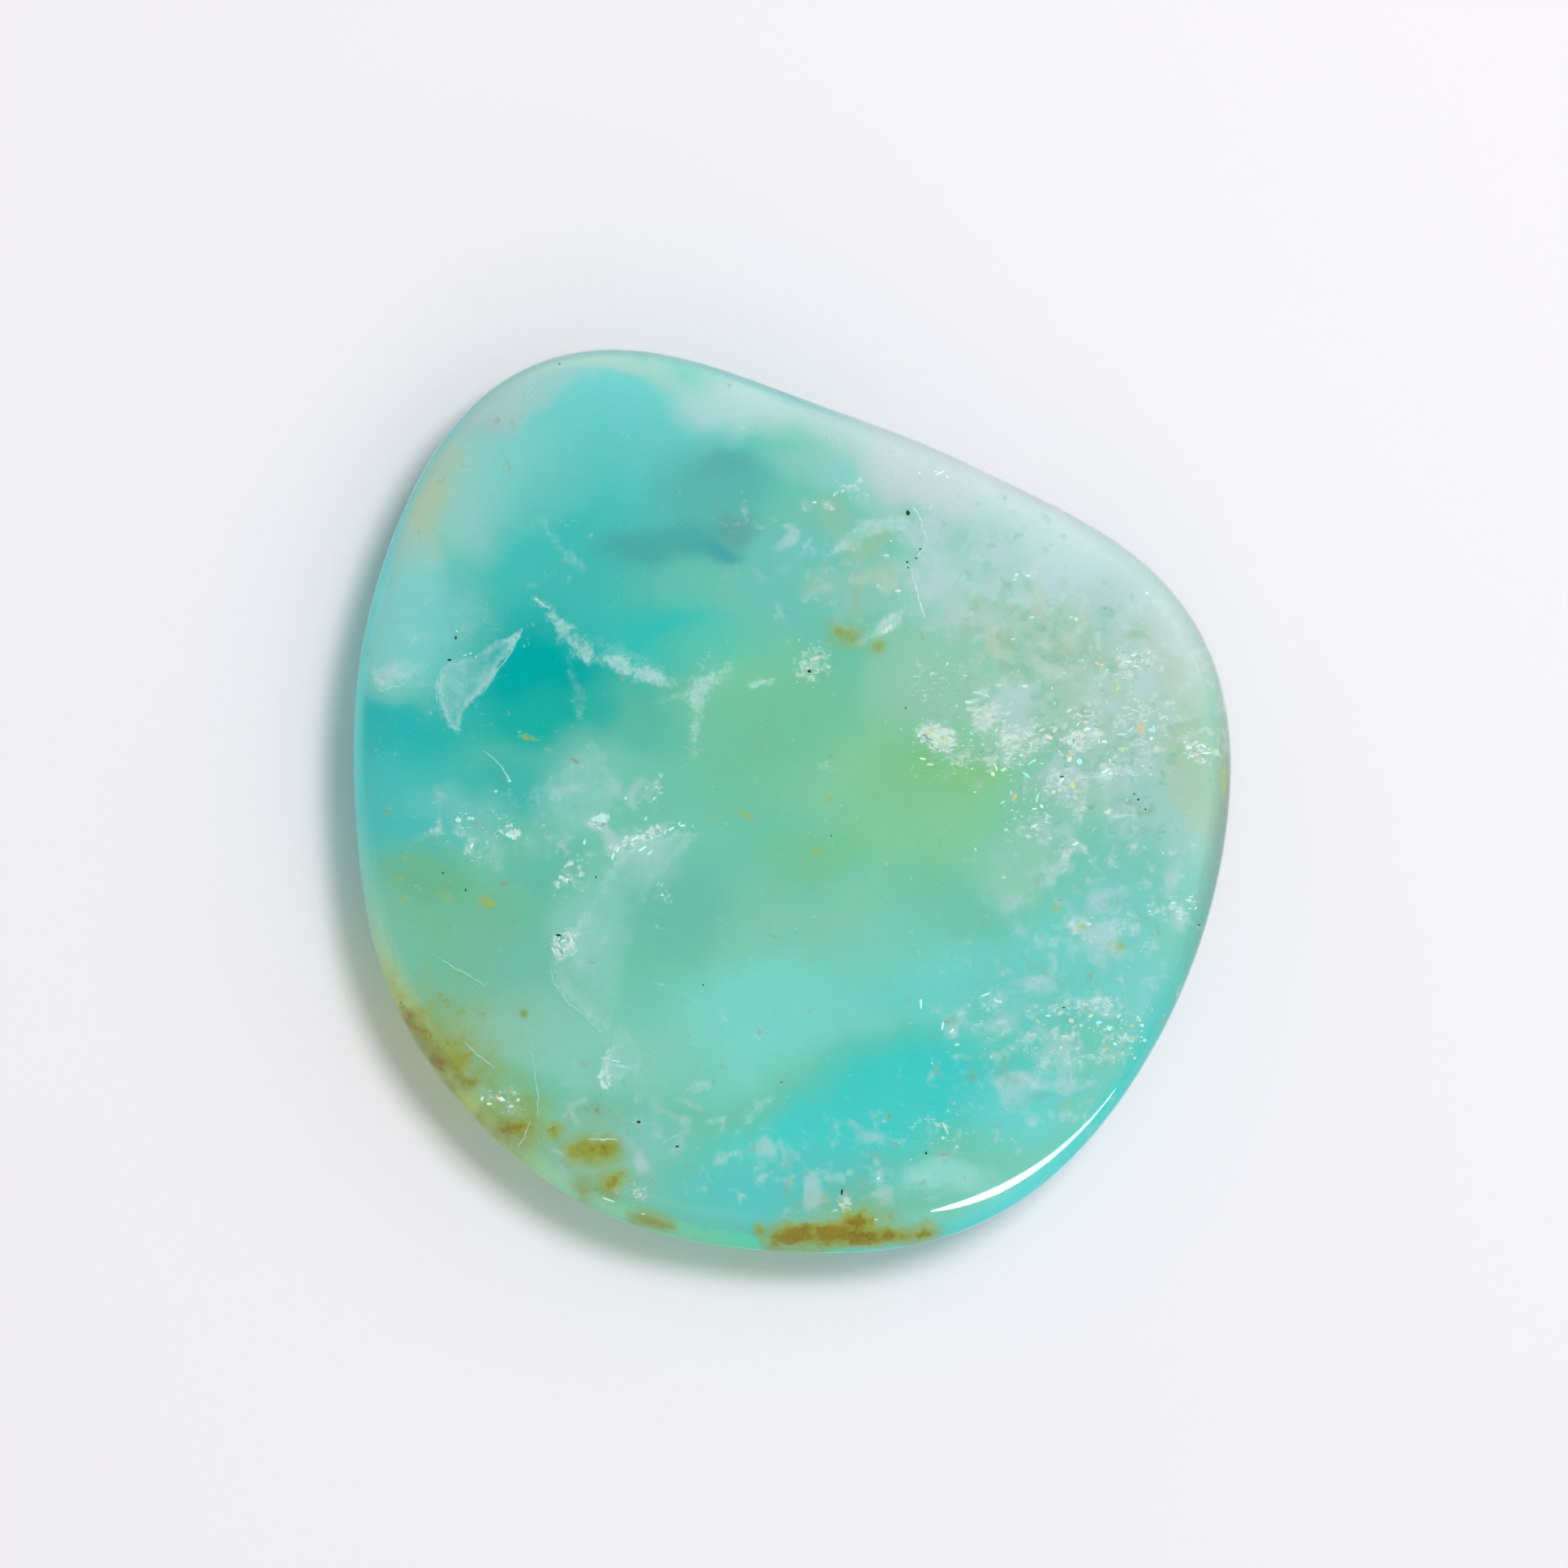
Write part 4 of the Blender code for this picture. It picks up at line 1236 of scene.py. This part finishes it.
# %% Clusters of small flakes
FLAKE_CLUSTERS = (
    # x, y, spread along, spread across, tilt in degrees, count, longest flake
    (5.7, 2.4, 0.50, 0.28, -20, 12, 0.16),
    (8.6, 3.0, 1.6, 0.9, -20, 26, 0.20),
    (12.6, 2.9, 1.5, 0.8, 0, 26, 0.24),
    (13.8, 5.4, 0.8, 0.35, 10, 12, 0.20),
    (16.0, 1.9, 0.30, 0.20, 0, 10, 0.18),
    (10.4, 0.2, 1.4, 0.9, 20, 24, 0.22),
    (10.0, 5.2, 1.8, 0.8, -15, 12, 0.14),
    (12.4, -2.6, 1.6, 1.2, 0, 10, 0.14),
    (11.6, -9.0, 1.8, 0.8, 10, 26, 0.18),
    (13.6, -9.0, 0.4, 0.9, -25, 10, 0.16),
    (8.0, -9.6, 1.6, 1.6, 0, 14, 0.12),
    (6.6, -13.2, 1.6, 0.7, 10, 8, 0.12),
    (-11.5, -11.6, 0.45, 0.25, -20, 5, 0.12),
    (-12.4, -0.8, 1.1, 0.6, -10, 6, 0.11),
)
CLUSTER_TINTS = ("white", "pale", "cream", "pink", "straw", "cyan", "amber", "aqua")
CLUSTER_SHARES = (12, 26, 12, 10, 6, 6, 3, 25)
print("flakes drawn in clusters:", sum(row[5] for row in FLAKE_CLUSTERS))

# %% The flakes as one mesh of slivers
# Share of the placed white flakes that are only pale
SHARE_OF_DULL = 0.55
# No flake lies closer to the outline than this
FREE_OF_EDGE = 0.5
FLAKE_DEPTHS = (0.05, 0.15)
# Usual slope of a flake
PLACED_LEAN = 0.12
CLUSTER_LEAN = 0.35


def turned(x, y, tilt):
    """A point turned about the origin by degrees."""
    turn = math.radians(tilt)
    return x * math.cos(turn) - y * math.sin(turn), x * math.sin(turn) + y * math.cos(turn)


def flake_mesh():
    draw = random.Random(11)
    bm = bmesh.new()
    tint_order = list(FLAKE_GLINT_TINTS)

    def add_flake(x, y, length, width, tilt, lean, tint):
        """One flat crack, a many-sided sliver that leans a little out of level."""
        _, inset, polish = under_polish(x, y)
        if inset < FREE_OF_EDGE:
            return
        level = float(polish) - draw.uniform(*FLAKE_DEPTHS)
        slope = Vector((draw.gauss(0, lean), draw.gauss(0, lean)))
        sides = draw.choice((4, 5, 6))
        start = draw.uniform(0, math.tau)
        ring = []
        for corner in range(sides):
            bearing = start + math.tau * (corner + draw.uniform(-0.3, 0.3)) / sides
            along = math.cos(bearing) * length / 2
            across = math.sin(bearing) * width / 2 * draw.uniform(0.6, 1.2)
            off_x, off_y = turned(along, across, tilt)
            rise = slope.x * off_x + slope.y * off_y
            ring.append(bm.verts.new(Vector((x + off_x, y + off_y, level + rise)) * MM))
        bm.faces.new(ring).material_index = tint_order.index(tint)

    for tint, rows in GLINTS.items():
        for x, y, length, width, tilt in rows:
            dull = tint == "white" and draw.random() < SHARE_OF_DULL
            add_flake(x, y, length, width, tilt, PLACED_LEAN, "pale" if dull else tint)
    for x, y, spread, narrow, tilt, count, longest in FLAKE_CLUSTERS:
        for _ in range(count):
            along, across = turned(draw.gauss(0, spread), draw.gauss(0, narrow), tilt)
            # Small flakes are commoner than large ones.
            size = longest * draw.uniform(0.25, 1.0) ** 1.4
            add_flake(x + along, y + across, size, size * draw.uniform(0.25, 0.8),
                      draw.uniform(0, 180), CLUSTER_LEAN,
                      draw.choices(CLUSTER_TINTS, CLUSTER_SHARES)[0])
    return mesh_of(bm, "bright_flakes")


flakes = add_object("bright_flakes", flake_mesh())
for name, tint in FLAKE_GLINT_TINTS.items():
    thinner = [0.6 * a + 0.4 * b for a, b in zip(linear(tint), linear(THIN_FLAKE))]
    flakes.data.materials.append(
        mottled("opal flake, painted glint, " + name, linear(tint), thinner, MOTTLE_SIZE, 0.3))
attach(flakes, "root")
print("flakes:", len(flakes.data.polygons))

# %% [markdown]
# ## Healed cracks
#
# The finest films are seen edge on, as lines no wider than a hair. A mesh point can't store
# anything that thin, so each line is a narrow ribbon that hangs just under the polish. Some
# follow the hem of a film.

# %% Healed cracks
CRACKS = {
    "healed crack, white": (
        # points, half width at each
        ([(4.62, 11.79), (4.84, 11.47), (5.1, 10.93), (5.26, 10.32), (5.19, 9.94), (4.84, 9.52)],
         (0.01, 0.04, 0.05, 0.04, 0.03, 0.01)),
        ([(4.66, 9.1), (4.78, 8.66), (4.97, 8.02), (5.19, 7.22)], (0.02, 0.03, 0.05, 0.03)),
        ([(-12.89, -9.42), (-12.34, -9.9), (-11.64, -10.48)], (0.01, 0.03, 0.01)),
        ([(-7.99, -13.26), (-7.38, -13.23), (-6.84, -13.26)], (0.02, 0.04, 0.02)),
        ([(-10.74, -13.58), (-10.49, -13.14), (-10.26, -12.56)], (0.07, 0.03, 0.01)),
        ([(-10.01, 7.92), (-9.72, 7.7), (-9.46, 7.54)], (0.03, 0.04, 0.02)),
        ([(-7.45, -11.15), (-7.48, -10.38), (-7.16, -9.68)], (0.06, 0.03, 0.02)),
        ([(-7.48, -10.1), (-7.2, -9.95), (-6.95, -9.98)], (0.04, 0.03, 0.01)),
        ([(-7.4, -10.4), (-6.8, -10.3), (-6.2, -10.5)], (0.02, 0.03, 0.01)),
    ),
    "healed crack, aqua": (
        ([(-10.25, -9.2), (-10.17, -9.9), (-10.07, -10.8), (-9.94, -11.66), (-9.98, -12.4)],
         (0.005, 0.02, 0.025, 0.035, 0.01)),
        ([(-5.08, -13.42), (-4.41, -13.01), (-3.93, -12.82)], (0.03, 0.03, 0.01)),
        ([(-14.1, -6.0), (-13.14, -6.54), (-12.02, -7.22)], (0.01, 0.04, 0.02)),
        ([(-12.12, 2.0), (-11.48, 1.52), (-11.06, 0.82)], (0.01, 0.04, 0.05)),
        (VEIL[15:11:-1] + [(-7.32, -9.2)], (0.02, 0.03, 0.03, 0.04, 0.02)),
        (WING[:4], (0.03, 0.03, 0.03, 0.01)),
        (WING[7:10], (0.01, 0.03, 0.02)),
        (PUFF[:5:-1], (0.02, 0.04, 0.04, 0.01)),
        (WEDGE[:3], (0.03, 0.03, 0.02)),
    ),
}
CRACK_TINTS = {
    "healed crack, white": ("D8F2EE", "A4D4CC"),
    "healed crack, aqua": ("A8DED8", "80CABE"),
}
RIBBON_DEPTH = 0.10
RIBBON_SHARE = 0.7
# Height and rate of the two waves that keep a ribbon from running straight
RIBBON_WAVES = ((0.02, 5.1), (0.015, 11.3))


def crack_mesh():
    bm = bmesh.new()
    for index, lines in enumerate(CRACKS.values()):
        for points, half_widths in lines:
            points = np.array(points)
            steps = np.linspace(0, len(points) - 1, 6 * len(points))
            at = np.arange(len(points))
            x, y = np.interp(steps, at, points[:, 0]), np.interp(steps, at, points[:, 1])
            half = RIBBON_SHARE * np.interp(steps, at, half_widths)
            along_x, along_y = np.gradient(x), np.gradient(y)
            length = np.hypot(along_x, along_y)
            wave = sum(height * np.sin(steps * rate) for height, rate in RIBBON_WAVES)
            edges = []
            for side in (1, -1):
                side_x = x - along_y / length * (wave + side * half)
                side_y = y + along_x / length * (wave + side * half)
                level = under_polish(side_x, side_y)[2] - RIBBON_DEPTH
                edges.append([bm.verts.new(Vector(p) * MM) for p in zip(side_x, side_y, level)])
            left, right = edges
            for step in range(len(steps) - 1):
                quad = (left[step], right[step], right[step + 1], left[step + 1])
                bm.faces.new(quad).material_index = index
    return mesh_of(bm, "healed_cracks")


cracks = add_object("healed_cracks", crack_mesh())
for name, (tint, thin) in CRACK_TINTS.items():
    cracks.data.materials.append(
        mottled(name, under_skin(tint), under_skin(thin), 2 * MOTTLE_SIZE, 0.4))
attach(cracks, "root")

# %% [markdown]
# ## Dirt in the pits
#
# A few pores reach the surface, and polishing paste and dirt have settled in them. Each is a
# flat dark grain just under the polish, between 0.04 and 0.3 mm across.

# %% Dirt grains
PITS = (
    # x, y, half width, half length
    (-13.18, 6.42, 0.07, 0.12), (-13.43, 5.55, 0.14, 0.07), (0.68, 5.1, 0.12, 0.10),
    (4.55, 11.31, 0.12, 0.15), (4.52, 9.39, 0.07, 0.07), (4.55, 9.17, 0.05, 0.05),
    (4.87, 9.55, 0.09, 0.05), (5.03, 9.9, 0.09, 0.05), (4.46, 3.66, 0.07, 0.05),
    (1.54, -1.33, 0.05, 0.05), (-3.48, -7.18, 0.06, 0.06), (-9.14, -5.23, 0.17, 0.07),
    (-7.67, -2.96, 0.05, 0.07), (-6.01, -12.56, 0.12, 0.08), (-4.5, -13.52, 0.10, 0.07),
    (-0.41, -10.99, 0.05, 0.05), (10.66, -8.08, 0.09, 0.04), (1.96, -15.31, 0.07, 0.19),
    (15.98, -4.85, 0.09, 0.05), (13.58, 0.08, 0.08, 0.07), (13.86, -0.3, 0.06, 0.05),
    (13.42, 0.3, 0.08, 0.04), (-9.11, 17.17, 0.09, 0.05), (-15.35, -7.89, 0.05, 0.07),
    (5.26, -13.78, 0.07, 0.11), (10.57, 0.98, 0.14, 0.05), (-13.69, -2.8, 0.05, 0.08),
    (-12.79, -3.47, 0.05, 0.10), (7.02, -15.63, 0.08, 0.05),
)
PIT_DEPTH = 0.04
PIT_SHRINK = 0.68
PIT_THICKNESS = 0.03


def dirt_mesh():
    draw = random.Random(5)
    bm = bmesh.new()
    for x, y, half_width, half_length in PITS:
        level = float(under_polish(x, y)[2]) - PIT_DEPTH
        grain = bmesh.ops.create_icosphere(bm, subdivisions=2, radius=1.0)["verts"]
        for vert in grain:
            lump = PIT_SHRINK * draw.uniform(0.7, 1.15)
            vert.co = Vector((x + vert.co.x * half_width * lump, y + vert.co.y * half_length * lump,
                              level + vert.co.z * PIT_THICKNESS)) * MM
    mesh = mesh_of(bm, "pit_dirt")
    mesh.shade_smooth()
    return mesh


dirt = add_object("pit_dirt", dirt_mesh())
dirt.data.materials.append(
    mottled("dried polishing dirt", linear("22241A"), linear("423C1E"), MOTTLE_SIZE / 2, 0.85))
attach(dirt, "root")
print("pits:", len(PITS))

# %% [markdown]
# ## The floor, the lamps and the camera
#
# The stone lies on plain white paper. Two lamps at the upper right, a small one and a broad
# one, give the soft shadow on the lower left. A window at the lower right leaves the bright
# line along the shoulder. It could be a lamp, but one strong enough for that line would also
# light the milk. So it is a glowing oval card that only mirror reflections see, and a weak lamp
# from that side lights what a real window would. The sky is pale and even, and dark only
# straight above, where a camera would stand.

# %% Floor
FLOOR_SIZE = 3.0


def white_paper():
    material, _, shader = new_material("white paper")
    shader.inputs["Base Color"].default_value = linear("F8F6FA")
    shader.inputs["Roughness"].default_value = 0.9
    shader.inputs["Specular IOR Level"].default_value = 0.0
    return material


bpy.ops.mesh.primitive_plane_add(size=FLOOR_SIZE)
floor = bpy.context.object
floor.name = "floor"
floor.data.materials.append(white_paper())

# %% Lamps
LAMPS = (
    # name, bearing and elevation in degrees, distance, width and length in metres, power
    ("key", 43, 64, 0.60, 0.16, 0.16, 1.85),
    ("softbox", 35, 45, 0.50, 0.60, 0.60, 0.50),
    ("fill", -75, 35, 0.50, 0.50, 0.30, 0.33),
)


def aim(thing, bearing, elevation, distance):
    """Put a lamp or a card where it faces the stone."""
    turn, rise = math.radians(bearing), math.radians(elevation)
    level = math.cos(rise)
    towards = Vector((level * math.cos(turn), level * math.sin(turn), math.sin(rise)))
    thing.location = towards * distance
    thing.rotation_euler = towards.to_track_quat("Z", "Y").to_euler()


for name, bearing, elevation, distance, width, length, power in LAMPS:
    lamp = bpy.data.lights.new(name, "AREA")
    lamp.shape = "RECTANGLE"
    lamp.size = width
    lamp.size_y = length
    lamp.energy = power
    stand = add_object(name, lamp)
    aim(stand, bearing, elevation, distance)
    stand.visible_glossy = False

# %% The window's reflection
WINDOW_SIZE = (0.20, 0.33, 1.0)
WINDOW_BEARING = -56
WINDOW_ELEVATION = 52
WINDOW_DISTANCE = 0.50
WINDOW_RADIANCE = 24.0


def window_light():
    material, tree, _ = new_material("window light, seen in the polish")
    ray = add_node(tree, "ShaderNodeLightPath")
    bright = add_node(tree, "ShaderNodeMath", {"operation": "MULTIPLY"}, {1: WINDOW_RADIANCE},
                      {0: ray.outputs["Is Reflection Ray"]})
    glow = add_node(tree, "ShaderNodeEmission", {}, {}, {"Strength": bright.outputs[0]})
    tree.links.new(glow.outputs[0], tree.nodes["Material Output"].inputs["Surface"])
    material.cycles.emission_sampling = "NONE"
    return material


bm = bmesh.new()
bmesh.ops.create_circle(bm, cap_ends=True, segments=64, radius=0.5)
bmesh.ops.scale(bm, vec=WINDOW_SIZE, verts=bm.verts)
window = add_object("window", mesh_of(bm, "window"))
aim(window, WINDOW_BEARING, WINDOW_ELEVATION, WINDOW_DISTANCE)
window.data.materials.append(window_light())
window.visible_camera = False
window.visible_diffuse = False
window.visible_shadow = False

# %% Sky
SKY_TINT = (0.97, 0.98, 1.0, 1.0)
sky = bpy.data.worlds.new("studio")
bpy.context.scene.world = sky
sky.use_nodes = True
tree = sky.node_tree
direction = add_node(tree, "ShaderNodeTexCoord").outputs["Generated"]
height = add_node(tree, "ShaderNodeSeparateXYZ", {}, {}, {0: direction}).outputs["Z"]
overhead = add_node(tree, "ShaderNodeMapRange", {"interpolation_type": "SMOOTHSTEP"},
                    {"From Min": 0.90, "From Max": 0.99, "To Min": 0.40, "To Max": 0.02},
                    {"Value": height})
background = tree.nodes["Background"]
background.inputs["Color"].default_value = SKY_TINT
tree.links.new(overhead.outputs[0], background.inputs["Strength"])
bpy.context.scene.view_settings.view_transform = "Standard"

# %% Camera, straight down
IMAGE_PIXELS = 1932
MM_PER_PIXEL = 0.032
LENS = 300.0
SENSOR = 36.0
# From the middle of the stone's box to the middle of the picture
CAMERA_ASIDE = (-0.31, 0.69)
camera_data = bpy.data.cameras.new("camera")
camera_data.lens = LENS
camera_data.sensor_width = SENSOR
camera_data.clip_start = 0.01
camera = add_object("camera", camera_data)
camera_height = IMAGE_PIXELS * MM_PER_PIXEL * LENS / SENSOR + GIRDLE_HEIGHT
camera.location = [value * MM for value in (*CAMERA_ASIDE, camera_height)]
bpy.context.scene.camera = camera
